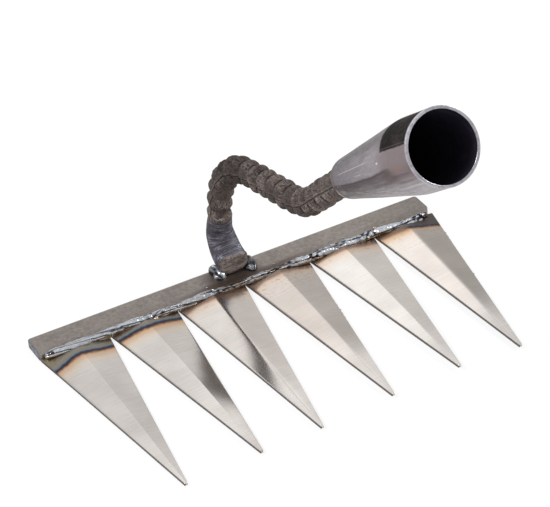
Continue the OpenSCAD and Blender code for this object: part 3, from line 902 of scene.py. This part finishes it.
def weld_finish(welds):
    """Bead metal: crests painted bright as highlights, flanks grey, crevices painted near black as shade,
    brown where the seam is burnt, gold on the larger spatter and the seam's toe, a faint blue cast in clouds;
    fine soot and pits."""
    material, f = new_finish("weld_bead_metal")
    spot = f.places()
    relief_and_painted_light, burnt, gold = f.parts(f.mark("bead"))
    grain = f.noise(spot, 1.1, 4, 0.6)
    cloud = f.noise(f.stretch(spot, (0.14, 0.5, 0.5)), 1.0, 3, 0.55)
    tall = relief_and_painted_light + (grain - 0.5) * 0.35 + (cloud - 0.5) * 0.4
    # Painted light: high relief gets the bright colour as a highlight, and crevices and toes get the dark one
    # as shade.
    base = f.ramp(tall, (
        (0.0, welds.crevice), (0.2, welds.crevice), (0.5, welds.middle), (0.82, welds.bright)))
    soot = f.step(cloud, 0.55, 0.68)
    base = f.mix(soot * 0.35, base, welds.crevice)
    base = f.mix(burnt * 0.75, base, f.times(welds.burnt, 0.4 + tall * 0.8))
    base = f.mix(gold * 0.6, base, welds.gold)
    blue = f.step(f.noise(spot, 0.22, 2), 0.5, 0.68)
    base = f.mix(blue * 0.14, base, tone(110, 134, 170))
    rough = 0.24 + grain * 0.2 + burnt * 0.14
    normal = f.bump(grain, 0.14, 0.6)
    f.metal(base, rough, 1.0, normal)
    return material


# Neck rod

def leg_length(size, turn):
    """Length of a leg of the rod's line: its own if straight, else radius times turn."""
    return size if turn == 0 else size * math.radians(abs(turn))


def along_leg(pose, size, turn, d):
    """Pose after d mm of a leg: straight ahead, or round an arc of radius `size` the way of `turn`."""
    forward, height, heading = pose
    if turn == 0:
        return forward + d * np.cos(heading), height + d * np.sin(heading), heading + 0 * d
    way = math.copysign(1, turn)
    now = heading + way * d / size
    return (forward + way * size * (np.sin(now) - np.sin(heading)),
            height + way * size * (np.cos(heading) - np.cos(now)), now)


def rod_line(s):
    """Forward distance, height and heading of the rod's middle line at s mm from the foot's end."""
    s = np.asarray(s, float)
    pose, start, found = ROD_START, 0.0, None
    for size, turn in ROD_LEGS:
        run = leg_length(size, turn)
        here = along_leg(pose, size, turn, s - start)
        found = here if found is None else tuple(np.where(s >= start, a, b) for a, b in zip(here, found))
        pose = tuple(float(v) for v in along_leg(pose, size, turn, np.float64(run)))
        start += run
    return found


ROD_LENGTH = sum(leg_length(*leg) for leg in ROD_LEGS)
LIP_S = ROD_LENGTH - ROD_INSERT
FIRST_RIB = sum(leg_length(*leg) for leg in ROD_LEGS[:2]) + RIB_PITCH
FOOT_END = FIRST_RIB - 0.75 * RIB_PITCH
# Swell of the foot: (share of its length, share of the swell)
FOOT_SWELL = ((0, 0), (0.06, 0.8), (0.12, 1), (0.3, 1), (0.45, 1), (0.6, 0.9), (0.75, 0.6),
              (0.88, 0.2), (1, 0))


def neck_skin(neck):
    """Ribbed rod along its bent line, over s along it and f round it (0 on the outside of the crook, 270 on
    the left): radius = rod + foot swell + (rib + valley) h c - valley + lengthwise ribs at 90 and 270. Each
    rib is a scallop h = 1 - (2d)^p of the distance d from its middle in pitches, slanted by s + R tan(slant)
    sin f, and c = |cos f|^0.35 thins it towards the lengthwise ribs. The ribs are worn down on the front of
    the rise, and broad (p = 2.7, elsewhere 1.5) on the left face of the reach. The foot's section squares to
    |cos f|^q, |sin f|^q; it is flattened from above and spread to the right. Hammer flats and rough scale lie
    over all, and nothing goes below the bar's top. The marks are the unrolled place, (valley with painted
    shade, foot, s) and (crest, lengthwise rib, painted shade beside the lengthwise ribs, under the rod and
    along its upper side)."""
    square, end_round, row_step = 0.36, 2.2, 0.4
    rubbed_end, face_start, shade_start, rim_start = (62, 78), (70, 90), (92, 112), (40, 60)
    shade_end = (LIP_S - 50, LIP_S - 25)
    rod, foot = neck.rod_radius / MM, neck.foot_radius / MM
    pitch, height_mm, valley_mm = (v / MM for v in (neck.rib_pitch, neck.rib_height, neck.rib_valley))
    rows = np.arange(1.3, LIP_S, row_step)
    s = np.concatenate([[0, 0.15, 0.35, 0.6, 0.9], rows, np.linspace(LIP_S, ROD_LENGTH, 8)])
    f = np.linspace(0, 2 * np.pi, 96, endpoint=False)
    ss, ff = np.meshgrid(s, f, indexing="ij")
    degrees, cos_f, sin_f = np.degrees(ff), np.cos(ff), np.sin(ff)
    slanted = ss + rod * math.tan(neck.rib_slant) * sin_f
    ribbed = ease(ss, FOOT_END + 2, FOOT_END + 10) * (1 - ease(ss, LIP_S - 6, LIP_S - 3))
    number = (slanted - FIRST_RIB) / pitch
    nearest = np.clip(np.round(number), 0, RIB_COUNT - 1)
    away = np.minimum(np.abs(number - nearest), 0.5)
    face = hump(degrees, 308, 48) * ease(ss, *face_start)
    scallop = 1 - (2 * away) ** (1.5 + 1.2 * face)
    uneven = 0.96 + 0.06 * np.sin(nearest * 2.4 + 1) + 0.05 * np.sin(ff * 2 + nearest * 1.3)
    crescent = np.maximum(np.abs(cos_f) ** 0.35, 0.3) * uneven
    rub_wear_and_highlight = hump(degrees, 200, 75) * (1 - ease(ss, *rubbed_end))
    crescent = crescent + (0.62 - crescent) * rub_wear_and_highlight * 0.8
    crescent = crescent + (0.8 - crescent) * face * 0.7
    line = np.degrees(np.abs(ff - np.pi)) - 90 + 5 * wander(ss / 30, 25)
    long_rib = (1 - ease(np.abs(line), 2, 7)) * ribbed
    swell = np.interp(ss / FOOT_END, *np.array(FOOT_SWELL).T)
    straight = trio(ss, rod * cos_f, rod * sin_f)
    at_foot = 1 - ease(ss, FOOT_END - 2, FOOT_END + 13)
    flats = -0.35 * np.clip(dents(straight * (0.7, 1, 1), 15, 21), -0.4, 1) * at_foot * ease(ss, 1, 4)
    rough = 0.07 * dents(straight, 2.2, 22) + 0.09 * dents(straight * (0.5, 1, 1), 5.5, 23)
    inside = 1 - ease(ss, LIP_S - 2, LIP_S)
    ribs = ribbed * ((height_mm + valley_mm) * scallop * crescent - valley_mm)
    radius = rod + (foot - rod) * swell + ribs
    radius = radius + neck.long_rib / MM * long_rib + (flats + rough * (1 - 0.7 * at_foot)) * inside
    radius = np.minimum(radius, rod + np.maximum(height_mm, (foot - rod) * swell)) - rounded(ss, end_round)
    at_end = 1 - ease(ss, 4, 17)
    over, across = (radius * np.sign(v) * np.abs(v) ** (1 - square * at_end) for v in (cos_f, sin_f))
    over = over * np.where(cos_f < 0, 1 - neck.foot_squash * at_end, 1)
    across = across * np.where(across > 0, 1 + neck.foot_spread * (1 - ease(ss, 5, 25)), 1)
    forward, height, heading = rod_line(ss)
    z = np.maximum(height + over * np.cos(heading), BAR_TOP - 0.05)
    back = node_box("neck_rod")[1][1] - 0.02
    rings = trio(across, np.minimum(-forward + over * np.sin(heading), back), z)
    # Painted shade in the valleys between the ribs.
    slit = ease(np.abs(cos_f), 0.15, 0.75) * 0.85 + 0.15 + 0.7 * ease(-line, 8, 20)
    slit = slit * (1 - 0.3 * face)
    valley = (1 - ease(scallop, 0.12, 0.5)) * ribbed * np.minimum(slit, 1) * (1 - 0.9 * rub_wear_and_highlight)
    # Painted shade under the reach and the tail, along the upper side of the reach, and as a dark line beside
    # the lengthwise ribs.
    underside = ease(-cos_f, 0.35, 0.75) * ease(ss, *shade_start) * (1 - 0.7 * ease(ss, *shade_end))
    upper = hump(np.degrees((ff + 1) % (2 * np.pi)) - 57.3, 42, 26) * ribbed * ease(ss, *rim_start)
    painted_shade = np.maximum(hump(line, -7, 6) * ribbed, np.maximum(0.55 * underside, 0.5 * upper))
    marks = {"unrolled": straight, "wear": trio(valley, at_foot, ss),
             "ribs": trio(scallop * ribbed * crescent, long_rib, painted_shade)}
    return skin(rings, marks)


def neck_finish(neck):
    """Mill scale: brown grey with speckle, rust and fine strokes along the rod, painted shade in the valleys,
    beside the lengthwise ribs, under the rod and along its upper side, painted highlights on the crests and
    the lengthwise ribs, and painted glints; darkest on the crook, and painted light under the tail, lighter
    below and a little darker on top. The foot turns blue grey with light scratches across it, a chipped upper
    edge and a mottled brown end face."""
    material, f = new_finish("scaled_rod_steel")
    spot = f.mark("unrolled")
    _, over, _ = f.parts(spot)
    valley, foot, s = f.parts(f.mark("wear"))
    crest, long_rib, painted_shade = f.parts(f.mark("ribs"))
    grain = f.noise(spot, 0.9, 4, 0.65)
    fleck = f.noise(spot, 2.2, 3, 0.6)
    stroke = f.noise(f.stretch(spot, (0.35, 2.4, 2.4)), 1.0, 4, 0.65)
    cloud = f.noise(spot, 0.11, 3, 0.5)
    base = f.mix(f.step(grain * 0.5 + stroke * 0.5, 0.42, 0.58), neck.hollow, neck.scale)
    # Painted highlight on the rib crests.
    base = f.mix(f.step(crest + (grain - 0.5) * 2.0, 0.6, 1.2) * 0.45, base, neck.crest)
    base = f.mix(f.step(cloud, 0.44, 0.58) * 0.6, base, neck.hollow)
    base = f.mix(f.step(fleck * 0.4 + grain * 0.6, 0.51, 0.62) * 0.65, base, neck.crevice)
    rust = f.step(f.noise(spot, 0.26, 3, 0.6), 0.54, 0.72)
    base = f.mix(rust * 0.35, base, tone(92, 68, 58))
    blotch = f.noise(spot, 0.4, 4, 0.7)
    # Painted shade in the valleys between the ribs, in patches.
    valley_shade = f.step(valley * (0.1 + blotch * 1.7) + (grain - 0.5) * 0.8, 0.3, 0.9)
    base = f.mix(valley_shade * 0.88, base, neck.crevice)
    # Painted highlight along the lengthwise ribs.
    base = f.mix(f.step(long_rib, 0.3, 1.0) * 0.2, base, neck.crest)
    # Painted shade beside the lengthwise ribs, under the rod and along its upper side.
    base = f.mix(f.step(painted_shade + (grain - 0.5) * 0.8, 0.3, 0.8) * 0.85, base, neck.crevice)
    base = f.times(base, f.step(s, 54, 78, 1.5, 0.6))
    base = f.times(base, f.step(s, 84, 108, 1.0, 2.05))
    # Painted light: the tail lighter on its underside and a little darker on top.
    tail = f.step(s, LIP_S - 62, LIP_S - 24)
    base = f.times(base, 1 + tail * f.step(over, -3, 2, 0.55, -0.08))
    scratch = f.noise(f.stretch(spot, (2.0, 0.14, 0.14)), 1.0, 4, 0.65)
    worn = f.mix(f.step(scratch * 0.65 + cloud * 0.35, 0.47, 0.62), neck.foot, neck.scratch)
    worn = f.mix(f.step(fleck * 0.6 + grain * 0.4, 0.5, 0.62) * 0.55, worn, neck.hollow)
    edge = f.step(foot + (cloud - 0.5) * 0.7 + (grain - 0.5) * 0.4, 0.35, 0.6)
    base = f.mix(edge * 0.9, base, worn)
    end = 1 - f.step(s + (cloud - 0.5) * 1.6 + (grain - 0.5) * 1.5, 0.5, 2.6)
    chip = f.ridge(s + (grain - 0.5) * 5 + (cloud - 0.5) * 3, FOOT_END + 8.5, 0.9)
    chip = chip * f.step(cloud, 0.42, 0.52)
    base = f.mix(chip * 0.8, base, tone(178, 176, 182))
    face = f.noise(f.stretch(f.places(), (0.25, 0.5, 0.7)), 1.0, 5, 0.75)
    base = f.mix(end * 0.95, base, f.times(neck.end_face, f.step(face, 0.36, 0.64, 0.3, 1.4)))
    glint = (1 - f.step(fleck, 0.29, 0.35)) * (0.7 + edge * 0.3)
    base = f.mix(glint * 0.6, base, tone(176, 172, 174))
    rough = 0.6 - edge * 0.2 - glint * 0.2 + grain * 0.1
    metallic = 0.3 + edge * 0.4 - end * 0.6
    normal = f.bump(grain * 0.5 + stroke * 0.5, 0.4, 0.9)
    f.metal(base, rough, metallic, normal, Specular_IOR_Level=0.15, Specular_Tint=(0.4, 0.38, 0.38))
    return material


# Socket

def at_lip(local):
    """From the socket's own frame (x, y, distance along its axis) to the model's frame: its narrow end
    sits at the rod line's lip and its axis rises forwards at the socket's tilt."""
    forward, height, _ = rod_line(np.float64(LIP_S))
    x, y, a = local[..., 0], local[..., 1], local[..., 2]
    return trio(x, -forward - a * math.cos(SOCKET_TILT) + y * math.sin(SOCKET_TILT),
                height + a * math.sin(SOCKET_TILT) + y * math.cos(SOCKET_TILT))


# Outside of the socket's narrow end: (distance along the axis, radius) in mm
SOCKET_NOSE = ((0, 8.4), (0.5, 8.75), (1.1, 9.1), (1.8, 9.4), (2.6, 9.68), (3.4, 9.9),
               (4.3, 10.05), (5.2, 10.16))


def socket_skin(socket):
    """Tapered tube round its axis: outside from the rounded narrow end up the cone to the straight mouth,
    over the skewed rim and back down the bore; rows and columns both close. Outside, the radius also has
    a fold along the left side, steep above and slow below, with a shallow second fold and two short ones
    towards the mouth, hammer flats on the cone and drawn waves; the rim is rounded. The marks are the
    unrolled place and (mm inside the scale patch, fold, rim)."""
    rim_r, hole, floor, cut_in = 0.45, 6.7, 4.0, 1.2
    bore, wall = socket.bore_radius / MM, socket.wall / MM
    run, mouth = socket.run / MM, socket.mouth_run / MM
    taper = run - mouth
    tube = bore + wall
    cone_a, cone_r = np.array(SOCKET_NOSE).T
    first_r = cone_r[0]
    arc = np.radians(np.linspace(0, 90, 6))
    out_a = np.concatenate([[0.0], cone_a, np.arange(6.2, run - 1, 0.9)])
    cone_top = 10 + (tube - 10) * (taper - 7) / (taper - 4)
    out_r = np.interp(out_a, [*cone_a, taper - 3, taper, taper + 3, run],
                      [*cone_r, cone_top, tube - 0.09, tube, tube])
    out_r[0] = hole
    rim_a = np.concatenate([run - rim_r * (1 - np.sin(arc)), run - rim_r * (1 - np.sin(arc[::-1]))])
    rim_s = np.concatenate([tube - rim_r * (1 - np.cos(arc)), bore + rim_r * (1 - np.cos(arc[::-1]))])
    in_a = np.concatenate([np.linspace(run - cut_in, taper, 14), np.linspace(taper - 2, 5.5, 30),
                           [floor, floor, floor / 2]])
    in_r = np.interp(in_a, [floor + 0.01, 5.5, taper, run], [first_r, 8.5, bore, bore])
    in_r[-3:] = (8.2, hole, hole)
    a = np.concatenate([out_a, rim_a, in_a])
    r = np.concatenate([out_r, rim_s, in_r])
    outer_rows = len(out_a) + len(rim_a)
    outside = (np.arange(len(a)) < outer_rows).astype(float)[:, None]
    theta = np.radians(np.unique(np.concatenate([np.arange(0, 360, 2.25), np.arange(180, 222, 0.75)])))
    aa, tt = np.meshgrid(a, theta, indexing="ij")
    rr = np.repeat(r[:, None], len(theta), 1)
    degrees = np.degrees(tt)
    straight = trio(aa, rr * np.cos(tt), rr * np.sin(tt))
    line = 191 + 1.2 * wander(aa / 14, 51) - 6 * ease(aa, 52, 84)
    across = degrees - line
    inside_fold = ease(aa, 6, 16) * (1 - ease(aa - 0.5 * np.maximum(across, 0), 74, 86))
    below = np.exp(-across / 16) * (1 - ease(across, 20, 34))
    fold = np.where(across < 0, hump(across, 0, 2.5), below) * inside_fold
    second = hump(across, 18, 6) * ease(aa, 30, 60) * (1 - ease(aa, 70, 92)) * 0.3
    tail = hump(degrees, 198, 5) * ease(aa, 78, 86) + hump(degrees, 210, 4) * ease(aa, 80, 88)
    tail = tail * (1 - ease(aa, 98, 105)) * 0.4
    flat = hump(degrees, 172, 22) * inside_fold * 0.25
    hammer = 0.09 * dents(straight * (0.35, 1, 1), 14, 52) * ease(aa, 4, 14)
    hammer = hammer * (1 - ease(aa, taper - 8, taper + 6))
    drawn = 0.05 * dents(straight * (0.12, 1, 1), 8, 53)
    cut = socket.fold / MM * (fold + second + tail) + flat
    quiet = 1 - ease(aa, run - 3, run - 0.8)
    rr = rr + outside * quiet * ease(aa, 0.5, 4) * (np.minimum(hammer + drawn, 0.1) - 0.1 - cut)
    skew = ease(aa, taper, run - cut_in) * rr * np.sin(tt) * math.tan(MOUTH_SKEW)
    skew = np.where(aa > run - cut_in - 0.1, rr * np.sin(tt) * math.tan(MOUTH_SKEW), skew)
    local = trio(rr * np.cos(tt), rr * np.sin(tt), aa + skew)
    patch_low, patch_high = (158.5 - degrees) * 0.3, (degrees - 100) * 0.3
    patch_in = (aa - 75 - 2.5 * ((degrees - 122) / 36) ** 2) * 0.3
    patch = np.minimum(np.minimum(patch_low, patch_high), np.minimum(patch_in, run + 4 - aa))
    rim = ease(aa, run - 1.5, run - 0.4) * outside
    marks = {"unrolled": straight, "drawn": trio(patch, fold + second + tail, rim)}
    paint = (np.arange(len(a)) >= outer_rows - 1).astype(int)
    return skin(at_lip(local), marks, loop=True, paint=paint)


def socket_finish(socket):
    """Drawn tube: painted light by the turn round its axis, darker along the top and pale along the
    underside, lighter towards the mouth, with long streaks, scratches and flecks; streaky below, with painted
    shade in the fold, a warm cast and a blush near the mouth. A dark scale patch with a crisp lengthwise edge
    lies at the mouth, a brown band and a painted highlight along the lip at the narrow end with a brown top
    behind them, a small white spot on the side, and the rim is bright."""
    material, f = new_finish("drawn_socket_steel")
    spot = f.mark("unrolled")
    along, side, lift = f.parts(spot)
    patch, fold, rim = f.parts(f.mark("drawn"))
    turn = f.bearing(lift * -1, side * -1) + 180
    streak = f.noise(f.stretch(spot, (0.02, 0.8, 0.8)), 1.0, 4, 0.6)
    fine = f.noise(f.stretch(spot, (0.035, 3.4, 3.4)), 1.0, 3, 0.6)
    cloud = f.noise(spot, 0.07, 3, 0.5)
    grain = f.noise(spot, 0.6, 4, 0.6)
    # Painted light: darker along the top of the tube and pale along its underside, by the turn round its
    # axis.
    sway = turn + (streak - 0.5) * 26 + (cloud - 0.5) * 16
    base = f.ramp(sway * (1 / 360), (
        (0.0, socket.tube), (0.2, socket.top), (0.37, socket.top), (0.43, socket.tube),
        (0.52, socket.tube), (0.6, socket.pale), (0.8, socket.pale), (1.0, socket.tube)))
    patchy = f.noise(f.stretch(spot, (0.12, 0.4, 0.4)), 1.0, 4, 0.65)
    base = f.times(base, 0.3 + streak * 0.36 + fine * 0.26 + grain * 0.2 + patchy * 0.5)
    base = f.times(base, f.step(along, 0, 84, 0.5, 1.0))
    scratch = f.step(fine, 0.62, 0.7) * f.step(cloud, 0.4, 0.6)
    base = f.mix(scratch * 0.4, base, socket.scratch)
    fleck = f.noise(f.stretch(spot, (0.3, 0.9, 0.9)), 1.0, 4, 0.7)
    base = f.mix(f.step(fleck, 0.54, 0.68) * 0.3, base, tone(186, 188, 200))
    base = f.mix((1 - f.step(fleck, 0.34, 0.46)) * 0.3, base, tone(96, 90, 96))
    low_side = f.step(turn, 194, 208)
    drawn = fine * 0.4 + streak * 0.6
    base = f.mix(low_side * f.step(drawn, 0.5, 0.6) * 0.5, base, tone(210, 206, 208))
    base = f.mix(low_side * (1 - f.step(drawn, 0.4, 0.5)) * 0.4, base, tone(120, 111, 112))
    lines = f.ridge(turn, 163, 0.9) * f.band(along, 12, 18, 52, 64)
    lines = lines + f.ridge(turn, 179.5, 0.8) * f.band(along, 36, 40, 45, 50)
    base = f.mix(lines * (0.35 + fine * 0.7), base, socket.scratch)
    warm = f.step(along + (cloud - 0.5) * 24, 66, 84) * (1 - f.step(turn, 200, 226))
    base = f.mix(warm * 0.85, base, socket.warm)
    # Painted shade in the fold.
    painted_fold_shade = f.line(fold + (grain - 0.5) * 0.15 + (streak - 0.5) * 0.3, 0.05, 0.95)
    base = f.mix(painted_fold_shade * 0.95, base, socket.fold_dark)
    blush = f.step(along, 82, 92) * f.step(cloud * 0.5 + grain * 0.5, 0.4, 0.6)
    base = f.mix(f.ridge(turn, 188, 9) * blush * 0.5, base, tone(156, 124, 104))
    base = f.mix(f.ridge(turn, 200, 5) * blush * 0.5, base, tone(116, 100, 122))
    narrow = 1 - f.step(along + (cloud - 0.5) * 7 + (grain - 0.5) * 3, 6.5, 9.5)
    brown = f.mix(f.step(grain, 0.4, 0.6), tone(112, 97, 92), tone(84, 74, 72))
    base = f.mix(narrow * 0.75, base, brown)
    brown_top = (1 - f.step(turn + (cloud - 0.5) * 8, 106, 116)) * (1 - f.step(along, 30, 52))
    base = f.mix(brown_top * f.step(turn, 40, 70) * 0.75, base, tone(78, 66, 62))
    # Painted highlight along the lip at the narrow end, on its lower side.
    lip = f.ridge(along, 5, 1.8) * f.band(turn, 190, 204, 262, 280)
    base = f.mix(lip * 0.8, base, socket.scratch)
    # A small white spot on the side.
    white_spot = f.ridge(turn, 171, 2.2) * f.ridge(along, 72, 2.0)
    base = f.mix(white_spot, base, tone(244, 242, 246))
    scale = f.step(patch + (grain - 0.5) * 1.1 + (cloud - 0.5) * 0.6, -0.25, 0.6)
    dark = f.mix(f.step(cloud * 0.6 + grain * 0.4, 0.44, 0.6), socket.patch, tone(42, 38, 37))
    dark = f.mix(f.ridge(turn, 154, 1.4) * 0.5, dark, tone(86, 79, 77))
    base = f.mix(scale * 0.97, base, dark)
    base = f.mix(rim, base, f.mix(f.step(grain, 0.4, 0.65), socket.rim, tone(160, 158, 166)))
    rough = 0.28 + fine * 0.12 + scale * 0.25 + fold * 0.1
    normal = f.bump(fine * 0.7 + streak * 0.8, 0.02, 0.6)
    f.metal(base, rough, 1.0 - scale, normal, Specular_IOR_Level=0.02, Specular_Tint=(0.75, 0.74, 0.75))
    return material


def bore_finish(socket):
    """Near black inside the tube, a little lighter in clouds, matt."""
    material, f = new_finish("near_black_bore")
    spot = f.mark("unrolled")
    cloud = f.noise(spot, 0.2, 4, 0.6)
    base = f.mix(f.step(cloud, 0.45, 0.75), socket.bore, tone(46, 43, 53))
    rough = 0.75 + cloud * 0.2
    f.metal(base, rough, 0.0, f.bump(cloud, 0.1, 0.5), Specular_IOR_Level=0.08)
    return material


# Stage

def floor_finish(stage):
    """Pale floor: a camera or a reflection sees it mostly as even white and partly as lit, so that the
    object's shadow stays; other rays see plain matt paint."""
    material, f = new_finish("pale_floor_paint")
    spot = f.places()
    paint = f.mix(f.noise(spot, 0.004, 2), stage.floor, tone(243, 243, 244))
    lit = f.node("ShaderNodeBsdfDiffuse", {}, {"Color": paint})
    even = f.node("ShaderNodeEmission", {}, {"Color": (1, 1, 1), "Strength": 1.0})
    rays = f.node("ShaderNodeLightPath")
    outputs = rays.socket.node.outputs
    seen = Sock(f, outputs["Is Camera Ray"]) + Sock(f, outputs["Is Glossy Ray"])
    seen = seen + Sock(f, outputs["Is Transmission Ray"])
    seen = f.node("ShaderNodeMath", {"operation": "MINIMUM"}, {0: seen, 1: 1.0})
    both = f.node("ShaderNodeMixShader", {}, {0: seen * 0.78, 1: lit, 2: even})
    f.node("ShaderNodeOutputMaterial", {}, {"Surface": both})
    return material


def studio_world(stage):
    """Even pale studio with one large soft window behind the object."""
    world = bpy.data.worlds.new("studio")
    world.use_nodes = True
    f = Finish(world.node_tree)
    x, y, z = f.parts(f.node("ShaderNodeTexCoord", output=0))
    window = f.band(f.bearing(x, y), 2, 21, 22, 34) * f.step(z, 0.1, 0.35)
    level = stage.sky_level + window * stage.window_level
    even = f.node("ShaderNodeBackground", {}, {"Color": (1, 1, 1), "Strength": level})
    f.node("ShaderNodeOutputWorld", {}, {"Surface": even})
    bpy.context.scene.world = world


def soft_lamp(name, place, aim, size, watts):
    """Square soft lamp at a place in metres, turned to its aim."""
    light = bpy.data.lights.new(name, "AREA")
    light.shape, light.size, light.energy = "SQUARE", size, watts
    lamp = bpy.data.objects.new(name, light)
    lamp.location = place
    lamp.rotation_mode = "QUATERNION"
    lamp.rotation_quaternion = (Vector(aim) - Vector(place)).to_track_quat("-Z", "Y")
    bpy.context.scene.collection.objects.link(lamp)


def set_camera(stage):
    """Camera at a distance from its aim, by azimuth and elevation, rolled about its line of sight."""
    az, el, roll = stage.azimuth, stage.elevation, stage.roll
    back = Vector((math.sin(az) * math.cos(el), -math.cos(az) * math.cos(el), math.sin(el)))
    right = Vector((math.cos(az), math.sin(az), 0))
    up = back.cross(right)
    across = math.cos(roll) * right - math.sin(roll) * up
    over = math.sin(roll) * right + math.cos(roll) * up
    data = bpy.data.cameras.new("photo_camera")
    data.lens, data.sensor_width = stage.lens, 36
    data.clip_start, data.clip_end = 0.05, 20
    camera = bpy.data.objects.new("photo_camera", data)
    turn = Matrix((across, over, back)).transposed()
    camera.matrix_world = Matrix.Translation(Vector(stage.aim) + back * stage.distance) @ turn.to_4x4()
    bpy.context.scene.collection.objects.link(camera)
    bpy.context.scene.camera = camera


def make_floor(stage):
    """Flat square grid just under the bar's underside."""
    half_metres, count, drop = 8, 9, 0.00008
    steps = np.linspace(-half_metres, half_metres, count)
    xx, yy = np.meshgrid(steps, steps, indexing="ij")
    points = trio(xx, yy, -drop).reshape(-1, 3)
    grid = np.arange(count * count).reshape(count, count)
    faces = np.stack([grid[:-1, :-1], grid[1:, :-1], grid[1:, 1:], grid[:-1, 1:]], -1).reshape(-1, 4)
    mesh = bpy.data.meshes.new("floor")
    mesh.from_pydata(points.tolist(), [], faces.tolist())
    mesh.materials.append(floor_finish(stage))
    floor = bpy.data.objects.new("floor", mesh)
    bpy.context.scene.collection.objects.link(floor)


# Operators

class RAKE_OT_crossbar(bpy.types.Operator):
    """Make the flat bar that carries the teeth"""
    bl_idname = "rake.crossbar"
    bl_label = "Crossbar"

    def execute(self, context):
        plates = settings("plates")
        make_piece("bar_plate", [bar_skin(plates)], [bar_finish(plates)], ["crossbar"])
        return {"FINISHED"}


class RAKE_OT_teeth(bpy.types.Operator):
    """Make the six creased plate teeth"""
    bl_idname = "rake.teeth"
    bl_label = "Teeth"

    def execute(self, context):
        plates = settings("plates")
        finish = tooth_finish(plates)
        for k in range(TEETH):
            plate = tooth_skin(k, plates)
            make_piece(f"tooth_plate_{k + 1}", [plate], [finish], [f"tooth_{k + 1}"])
        return {"FINISHED"}


class RAKE_OT_welds(bpy.types.Operator):
    """Make the seam beads, the foot beads, the socket's weld ring and the spatter"""
    bl_idname = "rake.welds"
    bl_label = "Weld beads"

    def execute(self, context):
        welds = settings("welds")
        finish = [weld_finish(welds)]
        for k in range(TEETH):
            bead = seam_skin(k, welds)
            make_piece(f"seam_bead_{k + 1}", [bead], finish, [f"seam_weld_{k + 1}"])
        make_piece("foot_bead_left", [foot_bead_skin(-1)], finish, ["neck_weld_left"])
        make_piece("foot_bead_right", [foot_bead_skin(1)], finish, ["neck_weld_right"])
        make_piece("socket_bead", [collar_skin()], finish, ["socket_weld"])
        make_piece("weld_spatter", spatter_skins(), finish, [])
        return {"FINISHED"}


class RAKE_OT_neck(bpy.types.Operator):
    """Make the bent ribbed rod"""
    bl_idname = "rake.neck"
    bl_label = "Neck rod"

    def execute(self, context):
        neck = settings("neck")
        make_piece("ribbed_neck", [neck_skin(neck)], [neck_finish(neck)], ["neck_rod"])
        return {"FINISHED"}


class RAKE_OT_socket(bpy.types.Operator):
    """Make the tapered tube for the handle"""
    bl_idname = "rake.socket"
    bl_label = "Handle socket"

    def execute(self, context):
        socket = settings("socket")
        finishes = [socket_finish(socket), bore_finish(socket)]
        make_piece("socket_tube", [socket_skin(socket)], finishes, ["socket"])
        return {"FINISHED"}


class RAKE_OT_stage(bpy.types.Operator):
    """Make the floor, the studio light and the camera"""
    bl_idname = "rake.stage"
    bl_label = "Stage"

    def execute(self, context):
        stage = settings("stage")
        context.scene.view_settings.view_transform = "Standard"
        make_floor(stage)
        studio_world(stage)
        middle = (0.0, -0.08, 0.05)
        soft_lamp("key_lamp", (-1.3, 0.35, 1.5), middle, 0.6, stage.key_power)
        soft_lamp("rim_lamp", (1.5, -0.2, 1.1), middle, 0.5, stage.rim_power)
        set_camera(stage)
        return {"FINISHED"}


class RAKE_PT_panel(bpy.types.Panel):
    """Lists the steps and the settings of the rake head"""
    bl_idname = "RAKE_PT_panel"
    bl_label = "Rake head"
    bl_space_type = "VIEW_3D"
    bl_region_type = "UI"
    bl_category = "Rake head"

    def draw(self, context):
        for operator in OPERATORS:
            self.layout.operator(operator.bl_idname)
        for group in ("plates", "welds", "neck", "socket", "stage"):
            box = self.layout.box()
            box.label(text=group.capitalize())
            chosen = settings(group)
            for name in chosen.__annotations__:
                box.prop(chosen, name)


OPERATORS = (RAKE_OT_crossbar, RAKE_OT_teeth, RAKE_OT_welds, RAKE_OT_neck, RAKE_OT_socket, RAKE_OT_stage)
CLASSES = (RakePlateSettings, RakeWeldSettings, RakeNeckSettings, RakeSocketSettings, RakeStageSettings,
           RakeSettings, *OPERATORS, RAKE_PT_panel)


def register():
    for cls in CLASSES:
        bpy.utils.register_class(cls)
    bpy.types.Scene.rake_head = subgroup(RakeSettings, "Rake head", "Sizes and colours of the rake head")


def unregister():
    del bpy.types.Scene.rake_head
    for cls in reversed(CLASSES):
        bpy.utils.unregister_class(cls)


def main():
    register()
    bpy.ops.rake.crossbar()
    bpy.ops.rake.teeth()
    bpy.ops.rake.welds()
    bpy.ops.rake.neck()
    bpy.ops.rake.socket()
    bpy.ops.rake.stage()


if __name__ == "__main__":
    main()
